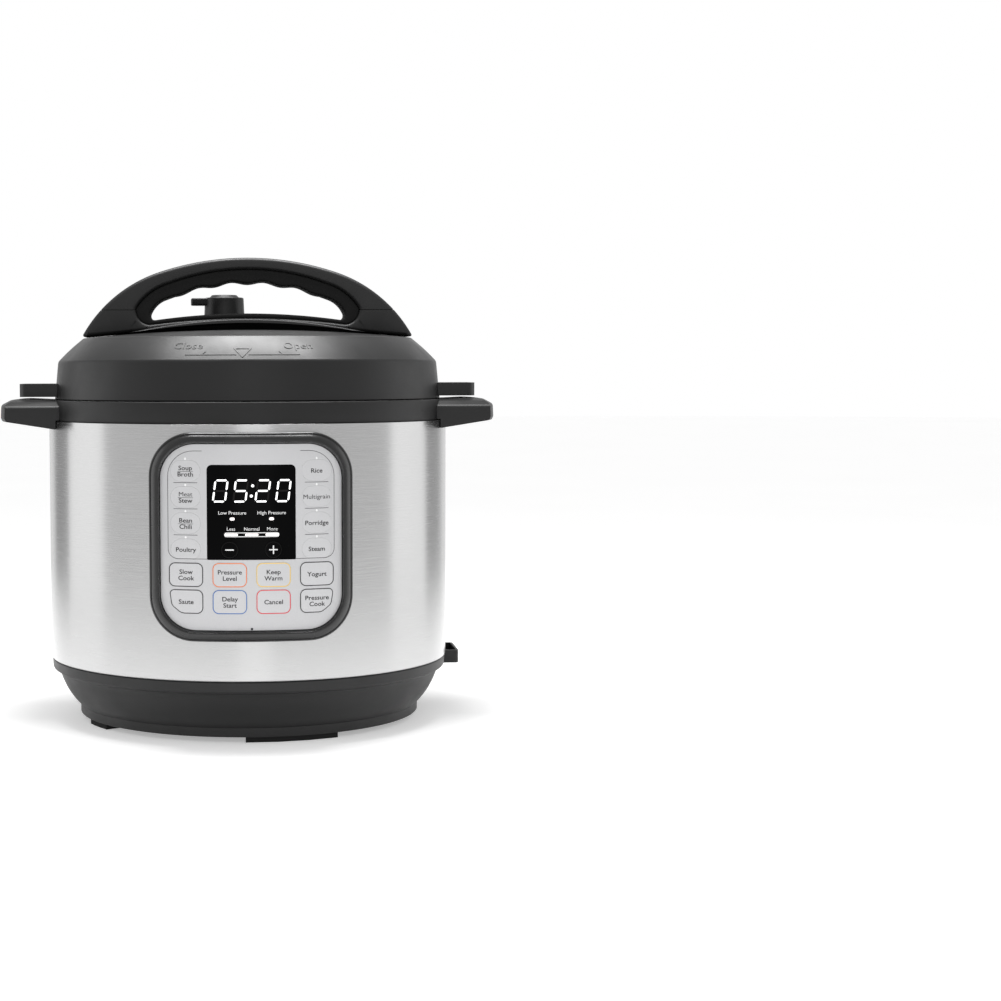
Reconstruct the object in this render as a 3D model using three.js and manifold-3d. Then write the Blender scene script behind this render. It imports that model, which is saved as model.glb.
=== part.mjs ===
// Electric pressure cooker with its lid locked on: every casing, seal, valve, key and inner piece is a mesh
// of its own. Millimetres, +Z up. The origin is on the pot's axis at bench level, the control panel faces -Y,
// and +X is its right.
import * as THREE from "three";
import { mergeVertices } from "three/addons/utils/BufferGeometryUtils.js";
import Module from "manifold-3d";

const wasm = await Module();
wasm.setup();

// ---- Driving dimensions ----
const POT_RADIUS = 110;
const POT_HEIGHT = 158;
const POT_WALL = 1;
const POT_BASE_THICKNESS = 4.5;
const POT_RIM_WIDTH = 10.5;
const POT_REST_Z = 53;
const WELL_GAP = 2.5;
const WELL_WALL = 1.2;
const AIR_GAP = 22.7;
const SHELL_WALL = 0.8;
const CASING_WALL = 2.5;
const FIT_GAP = 0.3;
const TURN_GAP = 0.8;
const FOOT_HEIGHT = 3.3;
const BASE_TOP_Z = 42.3;
const COLLAR_HEIGHT = 13.7;
const COLLAR_WALL = 3.7;
const SIDE_HANDLE_REACH = 34.7;
const SIDE_HANDLE_HALF_DEPTH = 47;
const LID_SKIRT_HEIGHT = 24.6;
const LID_CONE_WIDTH = 17.7;
const LID_CONE_HEIGHT = 17.1;
const LID_DOME_RISE = 5.6;
const LID_HANDLE_HEIGHT = 55;
const LID_HANDLE_HALF_DEPTH = 18;
const LUG_COUNT = 6;
const LUG_ARC = 32;
const TAB_ARC = 24;
// How far from the pot's rim (0) to the lugs' ends (1) the tabs begin.
const TAB_START = 6 / 13;
const VALVE_X = -16;
const VALVE_Y = 42;
const VALVE_RADIUS = 14.7;
const FLOAT_X = 20;
const FLOAT_Y = 44;
const FLOAT_TRAVEL = 5;
const KEY_WIDTH = 21.7;
const KEY_HEIGHT = 15.4;
const KEY_COLUMN_GAP = 5.7;
const KEY_ROW_GAP = 1.5;
const KEY_MARGIN = 5.2;
const KEY_TRAVEL_SPACE = 1.2;
const WINDOW_HEIGHT = 59.3;
const WINDOW_WIDTH = 55.4;
const WINDOW_TOP_MARGIN = 12.9;
const WINDOW_TO_KEYS = 1.9;
const OVERLAY_BOTTOM_MARGIN = 10.2;
const OVERLAY_CORNER = 22;
const BEZEL_WIDTH = 7.3;
const BEZEL_REACH = 10.8;
const COLLECTOR_WIDTH = 40;
const COLLECTOR_HEIGHT = 53;
const COLLECTOR_REACH = 15;

// ---- Sizes that follow from them ----
const AROUND = 40;
const INNER_AROUND = 30;
const COARSE = 12;
const RIM_Z = POT_REST_Z + POT_HEIGHT;
const WELL_INNER = POT_RADIUS + WELL_GAP;
const WELL_OUTER = WELL_INNER + WELL_WALL;
const SHELL_RADIUS = WELL_OUTER + AIR_GAP + SHELL_WALL;
const SHELL_BOTTOM_Z = BASE_TOP_Z + 0.5;
const SHELL_TOP_Z = RIM_Z - 5.8;
const COLLAR_RADIUS = SHELL_RADIUS - 1.9;
const COLLAR_INNER = COLLAR_RADIUS - COLLAR_WALL;
const COLLAR_BOTTOM_Z = SHELL_TOP_Z + FIT_GAP;
const COLLAR_TOP_Z = COLLAR_BOTTOM_Z + COLLAR_HEIGHT;
const PLATE_RADIUS = COLLAR_INNER - TURN_GAP - 0.4;
const PLATE_WALL = 1.2;
const LID_RADIUS = PLATE_RADIUS + TURN_GAP + 1.8;
const LID_BOTTOM_Z = COLLAR_TOP_Z + FIT_GAP;
const LID_SHOULDER_Z = LID_BOTTOM_Z + LID_SKIRT_HEIGHT;
const LID_CONE_TOP_Z = LID_SHOULDER_Z + LID_CONE_HEIGHT;
const LID_CONE_TOP_RADIUS = LID_RADIUS - 2.3 - LID_CONE_WIDTH;
const LID_TOP_Z = LID_CONE_TOP_Z + LID_DOME_RISE;
const WELL_FLANGE_Z = RIM_Z - 4;
const LUG_THICKNESS = 2.4;
const POT_RIM_RADIUS = POT_RADIUS + POT_RIM_WIDTH;
const LUG_RADIUS = PLATE_RADIUS - PLATE_WALL - 2.2;
const TAB_INNER = POT_RIM_RADIUS + (LUG_RADIUS - POT_RIM_RADIUS) * TAB_START;
const TAB_Z = WELL_FLANGE_Z - 5;
const SEAL_Z = RIM_Z + 0.5;
const SEAL_HEIGHT = 7;
const PLATE_Z = SEAL_Z + SEAL_HEIGHT + FIT_GAP;
const PLATE_CROWN_Z = PLATE_Z + 6;
const OVERLAY_WIDTH = 4 * KEY_WIDTH + 3 * KEY_COLUMN_GAP + 2 * KEY_MARGIN - 0.3;
const OVERLAY_HEIGHT =
  OVERLAY_BOTTOM_MARGIN + 2 * KEY_HEIGHT + KEY_ROW_GAP + WINDOW_TO_KEYS + WINDOW_HEIGHT + WINDOW_TOP_MARGIN;
const PANEL_TOP_Z = SHELL_TOP_Z - 2.7;
const OVERLAY_TOP_Z = PANEL_TOP_Z - BEZEL_WIDTH - 2.1;
const OVERLAY_BOTTOM_Z = OVERLAY_TOP_Z - OVERLAY_HEIGHT;
const PANEL_BOTTOM_Z = OVERLAY_BOTTOM_Z - BEZEL_WIDTH;
const OVERLAY_RADIUS = SHELL_RADIUS + BEZEL_REACH - 3;

// ---- Colours ----
const finish = (color, roughness, metalness) =>
  new THREE.MeshStandardMaterial({ color, roughness, metalness });
const STEEL = finish(0xb9b9b7, 0.35, 1);
const DARK_PLASTIC = finish(0x2b2b2d, 0.55, 0);
const PANEL_PLASTIC = finish(0x3c3c3e, 0.4, 0);
const SILVER_FILM = finish(0xcfcfd0, 0.4, 0.3);
const GLASS_BLACK = finish(0x050506, 0.1, 0);
const SILICONE = finish(0xd8d6cf, 0.6, 0);
const RUBBER = finish(0x1a1a1b, 0.9, 0);
const CIRCUIT_GREEN = finish(0x1e5a37, 0.5, 0);
const CLEAR_PLASTIC = finish(0xdfe6ea, 0.15, 0);
const ALUMINIUM = finish(0xa9abad, 0.5, 1);
const BRASS = finish(0xb5985a, 0.4, 1);

// ---- Solids: geometries become manifolds for cutting, and go back ----
function solid(geometry) {
  const bare = geometry.clone();
  bare.deleteAttribute("normal");
  bare.deleteAttribute("uv");
  const merged = mergeVertices(bare, 1e-4);
  const mesh = new wasm.Mesh({
    numProp: 3,
    vertProperties: merged.attributes.position.array,
    triVerts: new Uint32Array(merged.index.array),
  });
  return new wasm.Manifold(mesh);
}

function geometryOf(manifold) {
  const mesh = manifold.getMesh();
  const geometry = new THREE.BufferGeometry();
  geometry.setAttribute("position", new THREE.BufferAttribute(mesh.vertProperties, 3));
  geometry.setIndex(new THREE.BufferAttribute(mesh.triVerts, 1));
  const flat = geometry.toNonIndexed();
  flat.computeVertexNormals();
  return flat;
}

const join = (first, ...others) => others.reduce((whole, one) => whole.add(one), first);
const cut = (first, ...others) => others.reduce((whole, one) => whole.subtract(one), first);

// Points from a to c along the circle that passes through b.
function arc(a, b, c, steps) {
  const [ax, ay, bx, by, cx, cy] = [...a, ...b, ...c];
  const d = 2 * (ax * (by - cy) + bx * (cy - ay) + cx * (ay - by));
  const [aa, bb, cc] = [ax * ax + ay * ay, bx * bx + by * by, cx * cx + cy * cy];
  const ox = (aa * (by - cy) + bb * (cy - ay) + cc * (ay - by)) / d;
  const oy = (aa * (cx - bx) + bb * (ax - cx) + cc * (bx - ax)) / d;
  const turn = 2 * Math.PI;
  const start = Math.atan2(ay - oy, ax - ox);
  const forward = (angle) => (((angle - start) % turn) + turn) % turn;
  let sweep = forward(Math.atan2(cy - oy, cx - ox));
  if (forward(Math.atan2(by - oy, bx - ox)) > sweep) sweep -= turn;
  const radius = Math.hypot(ax - ox, ay - oy);
  return Array.from({ length: steps + 1 }, (_, i) => {
    const angle = start + (sweep * i) / steps;
    return [ox + radius * Math.cos(angle), oy + radius * Math.sin(angle)];
  });
}

function signedArea(points) {
  return points.reduce((sum, [x, y], i) => {
    const [nextX, nextY] = points[(i + 1) % points.length];
    return sum + (x * nextY - nextX * y) / 2;
  }, 0);
}

// A profile of [radius, z] points turned about Z; azimuth 0 is the front and grows towards +X.
function turned(profile, segments = AROUND) {
  const points = anticlockwise(profile);
  const onAxis = points.filter(([r]) => r < 1e-6).length > 0;
  const first = points.findIndex(([r], i) => r < 1e-6 && points.at(i - 1)[0] < 1e-6);
  const ordered = onAxis ? [...points.slice(first), ...points.slice(0, first)] : [...points, points[0]];
  const lathe = new THREE.LatheGeometry(ordered.map(([r, z]) => new THREE.Vector2(r, z)), segments);
  return solid(lathe.rotateX(Math.PI / 2));
}

// A flat ring or disc.
function ring(inner, outer, low, high, segments = AROUND) {
  const start = inner > 0 ? inner : 0;
  return turned([[start, low], [outer, low], [outer, high], [start, high]], segments);
}

const anticlockwise = (points) => (signedArea(points) < 0 ? [...points].reverse() : points);
const shapeOf = (points) => new THREE.Shape(anticlockwise(points).map(([x, y]) => new THREE.Vector2(x, y)));

function prism(points, depth, holes = [], bevel = 0, bevelSteps = 2) {
  const shape = shapeOf(points);
  shape.holes = holes.map(shapeOf);
  return new THREE.ExtrudeGeometry(shape, {
    depth: depth - 2 * bevel,
    bevelEnabled: bevel > 0,
    bevelThickness: bevel,
    bevelSize: bevel,
    bevelOffset: -bevel,
    bevelSegments: bevelSteps,
  }).translate(0, 0, bevel);
}

const alongZ = (points, low, high, ...rest) => solid(prism(points, high - low, ...rest).translate(0, 0, low));

// Outline in X and Z, running along Y.
const alongY = (points, front, back, ...rest) =>
  solid(prism(points, back - front, ...rest).rotateX(Math.PI / 2).translate(0, back, 0));

// Outline in Y and Z, running along X.
const CYCLE = new THREE.Matrix4().makeBasis(
  new THREE.Vector3(0, 1, 0),
  new THREE.Vector3(0, 0, 1),
  new THREE.Vector3(1, 0, 0),
);
const alongX = (points, left, right, ...rest) =>
  solid(prism(points, right - left, ...rest).applyMatrix4(CYCLE).translate(left, 0, 0));

function box(x0, x1, y0, y1, z0, z1) {
  const block = new THREE.BoxGeometry(x1 - x0, y1 - y0, z1 - z0);
  return solid(block.translate((x0 + x1) / 2, (y0 + y1) / 2, (z0 + z1) / 2));
}

function post(x, y, radius, low, high, segments = COARSE) {
  const cylinder = new THREE.CylinderGeometry(radius, radius, high - low, segments).rotateX(Math.PI / 2);
  return solid(cylinder.translate(x, y, (low + high) / 2));
}

function rounded(cx, cy, width, height, corner, steps = 5) {
  const quarter = (ox, oy, from) =>
    Array.from({ length: steps + 1 }, (_, i) => {
      const angle = ((from + (90 * i) / steps) * Math.PI) / 180;
      return [ox + corner * Math.cos(angle), oy + corner * Math.sin(angle)];
    });
  const [halfW, halfH] = [width / 2 - corner, height / 2 - corner];
  return [
    ...quarter(cx + halfW, cy + halfH, 0),
    ...quarter(cx - halfW, cy + halfH, 90),
    ...quarter(cx - halfW, cy - halfH, 180),
    ...quarter(cx + halfW, cy - halfH, 270),
  ];
}

const circle = (cx, cy, radius, steps = COARSE) =>
  Array.from({ length: steps }, (_, i) => {
    const angle = (2 * Math.PI * i) / steps;
    return [cx + radius * Math.cos(angle), cy + radius * Math.sin(angle)];
  });

// A point at an azimuth from the front, in degrees towards +X.
const onCircle = (radius, azimuth) => {
  const angle = (azimuth * Math.PI) / 180;
  return [radius * Math.sin(angle), -radius * Math.cos(angle)];
};

function sector(inner, outer, from, to, low, high, steps = 6) {
  const along = (radius) =>
    Array.from({ length: steps + 1 }, (_, i) => onCircle(radius, from + ((to - from) * i) / steps));
  return alongZ([...along(outer), ...along(inner).reverse()], low, high);
}

// A piece of curved sheet on the front of the body, concentric with the pot.
const PANEL_ARC = 40;
const band = (inner, outer, low, high) => sector(inner, outer, -PANEL_ARC, PANEL_ARC, low, high, 12);

// ---- Body ----
function outerShell() {
  const R = SHELL_RADIUS;
  const T = SHELL_TOP_Z;
  const W = SHELL_WALL;
  const sheet = turned([
    [R, SHELL_BOTTOM_Z],
    ...arc([R, T - 2.7], [R - 0.75, T - 0.8], [R - 2.6, T], 2),
    [R - 3.1, T],
    [R - 3.1, T - W],
    [R - W, T - 3],
    [R - W, SHELL_BOTTOM_Z],
  ]);
  const wireHole = alongY(rounded(0, PANEL_BOTTOM_Z + 40, 26, 14, 3, 2), -R - 5, -R + 8);
  return cut(sheet, wireHole);
}

function collarSection() {
  const floor = TAB_Z - 3;
  const inside = SHELL_RADIUS - 3.6;
  return [
    [WELL_OUTER + 1.5, floor - CASING_WALL],
    [inside, floor - CASING_WALL],
    [inside, COLLAR_BOTTOM_Z],
    [COLLAR_RADIUS, COLLAR_BOTTOM_Z],
    [COLLAR_RADIUS, COLLAR_TOP_Z - 0.8],
    [COLLAR_RADIUS - 0.8, COLLAR_TOP_Z],
    [COLLAR_INNER, COLLAR_TOP_Z],
    [COLLAR_INNER, floor],
    [WELL_OUTER + 3.3, floor],
    [WELL_OUTER + 3.3, floor + 4],
    [WELL_OUTER + 1.5, floor + 4],
  ];
}

// Both side handles: a turned section kept only within their width, hollow underneath, and slotted for the
// lid's fins.
function sideHandles() {
  const C = COLLAR_RADIUS;
  const reach = C + SIDE_HANDLE_REACH;
  const T = COLLAR_TOP_Z;
  const bodyClear = SHELL_RADIUS + 0.4;
  const whole = turned([
    [C - 1.5, COLLAR_BOTTOM_Z + 0.4],
    [bodyClear, COLLAR_BOTTOM_Z + 0.4],
    [bodyClear, T - 19.4],
    ...arc([reach - 2, T - 14.4], [reach - 0.5, T - 13.9], [reach, T - 12.5], 2),
    ...arc([reach - 0.6, T - 4.6], [reach - 4, T - 1.6], [reach - 12.8, T + 0.9], 4),
    [C - 1.5, T - 0.2],
  ]);
  const pocket = turned([
    [bodyClear + 4, T - 30],
    [bodyClear + 4, T - 4],
    [reach - 14, T - 3],
    [reach - 4.5, T - 6.5],
    [reach - 4.5, T - 30],
  ]);
  const D = SIDE_HANDLE_HALF_DEPTH;
  const across = [
    [-D, T - 25],
    [D, T - 25],
    [D, T - 5.6],
    ...arc([D - 0.4, T - 4.4], [D - 4, T - 1.4], [D - 12, T + 1.2], 3),
    ...arc([-D + 12, T + 1.2], [-D + 4, T - 1.4], [-D + 0.4, T - 4.4], 3),
    [-D, T - 5.6],
  ];
  const inner = D - 4;
  const pocketSection = [[-inner, T - 40], [inner, T - 40], [inner, T], [-inner, T]];
  const pocketWidth = alongX(pocketSection, -reach - 9, reach + 9);
  const slot = (side) =>
    alongZ(rounded(side * (reach - 22), 0, 10, 56, 4, 2), T - 30, T + 10);
  return cut(
    whole.intersect(alongX(across, -reach - 9, reach + 9)),
    pocket.intersect(pocketWidth),
    slot(1),
    slot(-1),
  );
}

// The T-shaped rail behind the collar that the condensation collector hangs on, with its drain.
const RAIL_Z = COLLAR_BOTTOM_Z - 6.5;
const RAIL_BACK = SHELL_RADIUS + COLLECTOR_REACH - 3;
function collectorRail() {
  const root = box(-17, 17, COLLAR_RADIUS - 2, RAIL_BACK, COLLAR_BOTTOM_Z + 0.4, COLLAR_TOP_Z - 5);
  const neck = box(-10, 10, SHELL_RADIUS + 0.6, RAIL_BACK, RAIL_Z + 1, COLLAR_BOTTOM_Z + 0.6);
  const flange = box(-17, 17, SHELL_RADIUS + 0.6, RAIL_BACK, RAIL_Z - 1.5, RAIL_Z + 1.5);
  return join(root, neck, flange);
}

function topRing() {
  const ringBody = turned(collarSection());
  const drainTop = box(-4, 4, COLLAR_INNER - 1, SHELL_RADIUS + 7, COLLAR_BOTTOM_Z + 2.4, COLLAR_BOTTOM_Z + 6);
  const drainDown = post(0, SHELL_RADIUS + 6, 2.6, RAIL_Z - 5, COLLAR_BOTTOM_Z + 4, 12);
  return cut(join(ringBody, sideHandles(), collectorRail()), drainTop, drainDown);
}

function outerPot() {
  const floor = POT_REST_Z - 16;
  const flangeTop = WELL_FLANGE_Z + LUG_THICKNESS;
  const well = turned([
    [32, floor],
    [WELL_OUTER - 6, floor],
    [WELL_OUTER, floor + 5],
    [WELL_OUTER, WELL_FLANGE_Z],
    [WELL_INNER + 9, WELL_FLANGE_Z],
    [WELL_INNER + 9, flangeTop],
    [WELL_INNER, flangeTop],
    [WELL_INNER, floor + 5.6],
    [WELL_OUTER - 6.6, floor + WELL_WALL],
    [32, floor + WELL_WALL],
  ], INNER_AROUND);
  const lug = (i) => {
    const middle = (360 / LUG_COUNT) * i;
    const [start, end] = [middle - LUG_ARC / 2, middle + LUG_ARC / 2];
    return sector(WELL_INNER + 8, LUG_RADIUS, start, end, WELL_FLANGE_Z, flangeTop, 4);
  };
  const lugs = Array.from({ length: LUG_COUNT }, (_, i) => lug(i));
  const terminalHoles = [-1, 1].map((side) => post(side * 12, -ELEMENT_RADIUS, 4, floor - 2, floor + 3, 12));
  return cut(join(well, ...lugs), ...terminalHoles);
}

// ---- Heating and sensing ----
const ELEMENT_RADIUS = 66;
function heatingPlate() {
  const top = POT_REST_Z - FIT_GAP;
  const R = POT_RADIUS - 20;
  return turned([
    [17.5, top - 8],
    [R - 14, top - 8],
    [R - 4, top - 4.5],
    [R, top - 2.5],
    [R, top - 0.8],
    [R - 0.8, top],
    [17.5, top],
  ], INNER_AROUND);
}

function heatingElement() {
  const z = POT_REST_Z - 11.4;
  const tube = 2.5;
  const loop = solid(new THREE.TorusGeometry(ELEMENT_RADIUS, tube, 6, 28).translate(0, 0, z));
  const gap = box(-8, 8, -ELEMENT_RADIUS - 5, -ELEMENT_RADIUS + 5, z - 5, z + 5);
  const legs = [-1, 1].map((side) => post(side * 12, -ELEMENT_RADIUS, tube, z - 14, z, 8));
  return join(cut(loop, gap), ...legs);
}

function sensorCap() {
  const top = POT_REST_Z - 0.4;
  return turned(
    [
      [0, top],
      [14, top],
      [15.5, top - 1.2],
      [15.5, top - 7],
      [14.2, top - 7],
      [14.2, top - 2.2],
      [4, top - 2.2],
      [4, top - 4],
      [0, top - 4],
    ],
    COARSE,
  );
}

const BRACKET_Z = POT_REST_Z - 19.5;
function sensorBracket() {
  const plate = alongZ(rounded(0, 0, 90, 24, 6, 3), BRACKET_Z, BRACKET_Z + 1.6);
  const guide = post(0, 0, 2.4, BRACKET_Z + 1, BRACKET_Z + 8);
  const holes = [-1, 1].map((side) => post(side * 38, 0, 2.2, BRACKET_Z - 1, BRACKET_Z + 3, 10));
  return cut(join(plate, guide), ...holes);
}

function sensorSpring() {
  const low = BRACKET_Z + 1.6 + FIT_GAP + 0.7;
  const high = POT_REST_Z - 0.4 - 2.2 - FIT_GAP - 0.7;
  const turns = 4;
  const path = new THREE.CatmullRomCurve3(
    Array.from({ length: turns * 8 + 1 }, (_, i) => {
      const angle = (i * Math.PI) / 4;
      const z = low + ((high - low) * i) / (turns * 8);
      return new THREE.Vector3(7 * Math.cos(angle), 7 * Math.sin(angle), z);
    }),
  );
  return solid(
    new THREE.ExtrudeGeometry(shapeOf(circle(0, 0, 0.7, 5)), {
      steps: turns * 10,
      extrudePath: path,
      bevelEnabled: false,
    }),
  );
}

function pressureSwitch() {
  const body = alongX(rounded(60, BRACKET_Z - 9, 26, 15, 2, 2), -7, 7);
  const plunger = post(0, 54, 2, BRACKET_Z - 3, BRACKET_Z + 1.4, 12);
  const tags = [-8, 0, 8].map((shift) =>
    box(-1.5, 1.5, 58.6 + shift, 61.4 + shift, BRACKET_Z - 22, BRACKET_Z - 14),
  );
  return join(body, plunger, ...tags);
}

function innerPot() {
  const R = POT_RADIUS;
  const low = POT_REST_Z;
  const rim = POT_RIM_RADIUS;
  return turned([
    [0, low],
    [R - 14, low],
    ...arc([R - 12, low + 0.5], [R - 3.4, low + 5.2], [R, low + 15], 3),
    [R, RIM_Z - POT_WALL - 1.2],
    [R + 1.2, RIM_Z - POT_WALL],
    [rim, RIM_Z - POT_WALL],
    [rim, RIM_Z],
    [R + 0.6, RIM_Z],
    [R - POT_WALL, RIM_Z - 1.6],
    ...arc([R - POT_WALL, low + 16], [R - 4.6, low + 8], [R - 14, low + POT_BASE_THICKNESS], 2),
    [0, low + POT_BASE_THICKNESS],
  ], INNER_AROUND);
}

// ---- Lid ----
const handleFootX = LID_CONE_TOP_RADIUS + 0.6;
const domeArc = (halfWidth, lift, steps) =>
  arc([-halfWidth, LID_CONE_TOP_Z + lift], [0, LID_TOP_Z + lift], [halfWidth, LID_CONE_TOP_Z + lift], steps);

function lidShell() {
  const R = LID_RADIUS;
  const S = LID_SHOULDER_Z;
  const K = LID_CONE_TOP_RADIUS;
  const Z = LID_CONE_TOP_Z;
  const W = CASING_WALL;
  const domeTop = arc([K, Z], [K / 2, Z + LID_DOME_RISE * 0.76], [0, LID_TOP_Z], 3);
  const domeUnder = [[0, LID_TOP_Z - W], [K / 2, Z + LID_DOME_RISE * 0.7 - W], [K - 1, Z - W]];
  const cover = turned([
    [R, LID_BOTTOM_Z],
    [R - 2.3, S],
    ...arc([R - 3.3, S + 2], [R - 10.1, S + 8.8], [K + 1.9, Z - 1.4], 2),
    ...domeTop,
    ...domeUnder,
    [R - 6, S - 1],
    [R - 4.3, S - 4],
    [R - 1.9, LID_BOTTOM_Z + 2],
    [R - 1.9, LID_BOTTOM_Z],
  ]);
  const finOutline = (side) => [
    [side * (R - 3.5), -26],
    [side * (R + 18), -26],
    [side * (R + 22.7), -20],
    [side * (R + 22.7), 20],
    [side * (R + 18), 26],
    [side * (R - 3.5), 26],
  ];
  const finLow = LID_BOTTOM_Z + 1.9;
  const inside = ring(0, R - 1.9, finLow - 5, finLow + 12);
  const fins = [-1, 1].map((side) => alongZ(finOutline(side), finLow, finLow + 8.9, [], 1, 1));
  const valveHole = post(VALVE_X, VALVE_Y, 8, LID_TOP_Z - 20, LID_TOP_Z + 5);
  const floatHole = post(FLOAT_X, FLOAT_Y, 5.5, LID_TOP_Z - 20, LID_TOP_Z + 5);
  return cut(join(cover, ...fins.map((fin) => cut(fin, inside))), valveHole, floatHole);
}

function lidPlate() {
  const P = PLATE_RADIUS;
  const W = PLATE_WALL;
  const crownRadius = POT_RADIUS - 14;
  const plate = turned([
    [0, PLATE_CROWN_Z],
    [crownRadius, PLATE_CROWN_Z],
    [crownRadius + 8, PLATE_Z],
    [P - W, PLATE_Z],
    [P - W, TAB_Z],
    [P, TAB_Z],
    [P, PLATE_Z + W - 0.8],
    [P - 0.8, PLATE_Z + W],
    [crownRadius + 8.4, PLATE_Z + W],
    [crownRadius + 0.4, PLATE_CROWN_Z + W],
    [0, PLATE_CROWN_Z + W],
  ]);
  const tab = (i) => {
    const middle = (360 / LUG_COUNT) * i;
    return sector(TAB_INNER, P - W + 0.2, middle - TAB_ARC / 2, middle + TAB_ARC / 2, TAB_Z, TAB_Z + 2.4, 3);
  };
  const tabs = Array.from({ length: LUG_COUNT }, (_, i) => tab(i));
  const holes = [
    post(VALVE_X, VALVE_Y, PIPE_RADIUS + FIT_GAP, PLATE_CROWN_Z - 5, PLATE_CROWN_Z + 5, COARSE),
    post(FLOAT_X, FLOAT_Y, 4.6, PLATE_CROWN_Z - 5, PLATE_CROWN_Z + 5, COARSE),
    post(0, PIN_Y, 2.6, PLATE_CROWN_Z - 5, PLATE_CROWN_Z + 5, 16),
  ];
  return cut(join(plate, ...tabs), ...holes);
}

function sealingRing() {
  const inner = POT_RADIUS + 3.4;
  const outer = inner + 9;
  return turned([
    [inner, SEAL_Z],
    [outer - 1, SEAL_Z],
    [outer, SEAL_Z + 1.2],
    [outer, SEAL_Z + SEAL_HEIGHT - 1.2],
    [outer - 1, SEAL_Z + SEAL_HEIGHT],
    [inner, SEAL_Z + SEAL_HEIGHT],
    [inner + 2.2, SEAL_Z + SEAL_HEIGHT / 2],
  ], INNER_AROUND);
}

function sealingRingRack() {
  const inner = POT_RADIUS + 1;
  const low = SEAL_Z + 0.8;
  const hoop = ring(inner, inner + 1.6, low, PLATE_Z - FIT_GAP, INNER_AROUND);
  const windows = Array.from({ length: 6 }, (_, i) => {
    const middle = 60 * i;
    return sector(inner - 2, inner + 4, middle - 18, middle + 18, low + 1.6, PLATE_Z - FIT_GAP - 1.6, 2);
  });
  return cut(hoop, ...windows);
}

const PIPE_RADIUS = 4.5;
const PIPE_TOP_Z = LID_TOP_Z + 8;
function steamPipe() {
  const flangeZ = PLATE_CROWN_Z + PLATE_WALL + FIT_GAP;
  const tube = turned(
    [
      [2, PLATE_CROWN_Z - 12],
      [PIPE_RADIUS, PLATE_CROWN_Z - 12],
      [PIPE_RADIUS, flangeZ],
      [8.5, flangeZ],
      [8.5, flangeZ + 3],
      [PIPE_RADIUS, flangeZ + 3],
      [PIPE_RADIUS, PIPE_TOP_Z - 3],
      [3, PIPE_TOP_Z],
      [2, PIPE_TOP_Z],
    ],
    COARSE,
  );
  return tube.translate([VALVE_X, VALVE_Y, 0]);
}

function steamPipeNut() {
  const high = PLATE_CROWN_Z - FIT_GAP;
  const hexagon = circle(VALVE_X, VALVE_Y, 8.5, 6);
  return alongZ(hexagon, high - 4, high, [circle(VALVE_X, VALVE_Y, PIPE_RADIUS + FIT_GAP, COARSE)]);
}

function antiBlockShield() {
  const high = PLATE_CROWN_Z - 0.4;
  const low = high - 21;
  const cage = turned(
    [
      [0, low],
      [11, low],
      [14, low + 3],
      [14, high],
      [13, high],
      [13, low + 3.5],
      [10.6, low + 1],
      [0, low + 1],
    ],
    COARSE,
  );
  const windows = Array.from({ length: 8 }, (_, i) => {
    const middle = 45 * i;
    return sector(12, 16, middle - 12, middle + 12, low + 5, low + 14, 2);
  });
  return cut(cage, ...windows).translate([VALVE_X, VALVE_Y, 0]);
}

function valveWeight() {
  const seat = PIPE_TOP_Z + FIT_GAP;
  return turned(
    [
      [PIPE_RADIUS + 0.3, seat - 5],
      [9.5, seat - 5],
      [11.3, seat - 3],
      [11.3, seat + 6],
      [9.5, seat + 8],
      [0, seat + 8],
      [0, seat],
      [PIPE_RADIUS + 0.3, seat],
    ],
    COARSE,
  ).translate([VALVE_X, VALVE_Y, 0]);
}

const VALVE_TOP_Z = LID_TOP_Z + 24.2;
function valveHandle() {
  const R = VALVE_RADIUS;
  const T = VALVE_TOP_Z;
  const cap = turned(
    [
      [0, T + 1.7],
      [8.2, T + 1.7],
      [9, T + 1],
      [9.2, T],
      [R - 1.5, T],
      [R - 0.3, T - 1.2],
      [R, T - 22],
      [R - 1.8, T - 22],
      [R - 1.8, T - 7],
      [0, T - 7],
    ],
    24,
  );
  const lever = alongZ(
    [[-8, -8], [-14, -6.5], [-22, -5], [-24, -3], [-24, 3], [-22, 5], [-14, 6.5], [-8, 8]],
    T - 5,
    T - 1.4,
    [],
    0.8,
    1,
  );
  return join(cap, lever).translate([VALVE_X, VALVE_Y, 0]);
}

function floatValve() {
  const head = LID_TOP_Z - 0.6;
  return turned(
    [
      [0, PLATE_CROWN_Z - 10],
      [3.2, PLATE_CROWN_Z - 10],
      [3.2, PLATE_CROWN_Z + PLATE_WALL + FIT_GAP],
      [6.2, PLATE_CROWN_Z + PLATE_WALL + FIT_GAP],
      [6.2, PLATE_CROWN_Z + PLATE_WALL + 2],
      [3.2, PLATE_CROWN_Z + PLATE_WALL + 2],
      [3.2, head - 4],
      [4.6, head - 4],
      [4.6, head - 0.5],
      [4.1, head],
      [0, head],
    ],
    COARSE,
  ).translate([FLOAT_X, FLOAT_Y, 0]);
}

function floatCap() {
  const high = PLATE_CROWN_Z - FLOAT_TRAVEL - 0.6;
  return ring(3.6, 7, high - 3, high, COARSE).translate([FLOAT_X, FLOAT_Y, 0]);
}

const PIN_Y = POT_RADIUS - 24;
function lockingPin() {
  return turned(
    [
      [0, PLATE_CROWN_Z - 7],
      [2.1, PLATE_CROWN_Z - 7],
      [2.1, PLATE_CROWN_Z + PLATE_WALL + 0.6],
      [4.5, PLATE_CROWN_Z + PLATE_WALL + 0.6],
      [4.5, PLATE_CROWN_Z + 4],
      [2.1, PLATE_CROWN_Z + 4],
      [2.1, PLATE_CROWN_Z + 14],
      [0, PLATE_CROWN_Z + 14],
    ],
    16,
  ).translate([0, PIN_Y, 0]);
}

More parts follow.
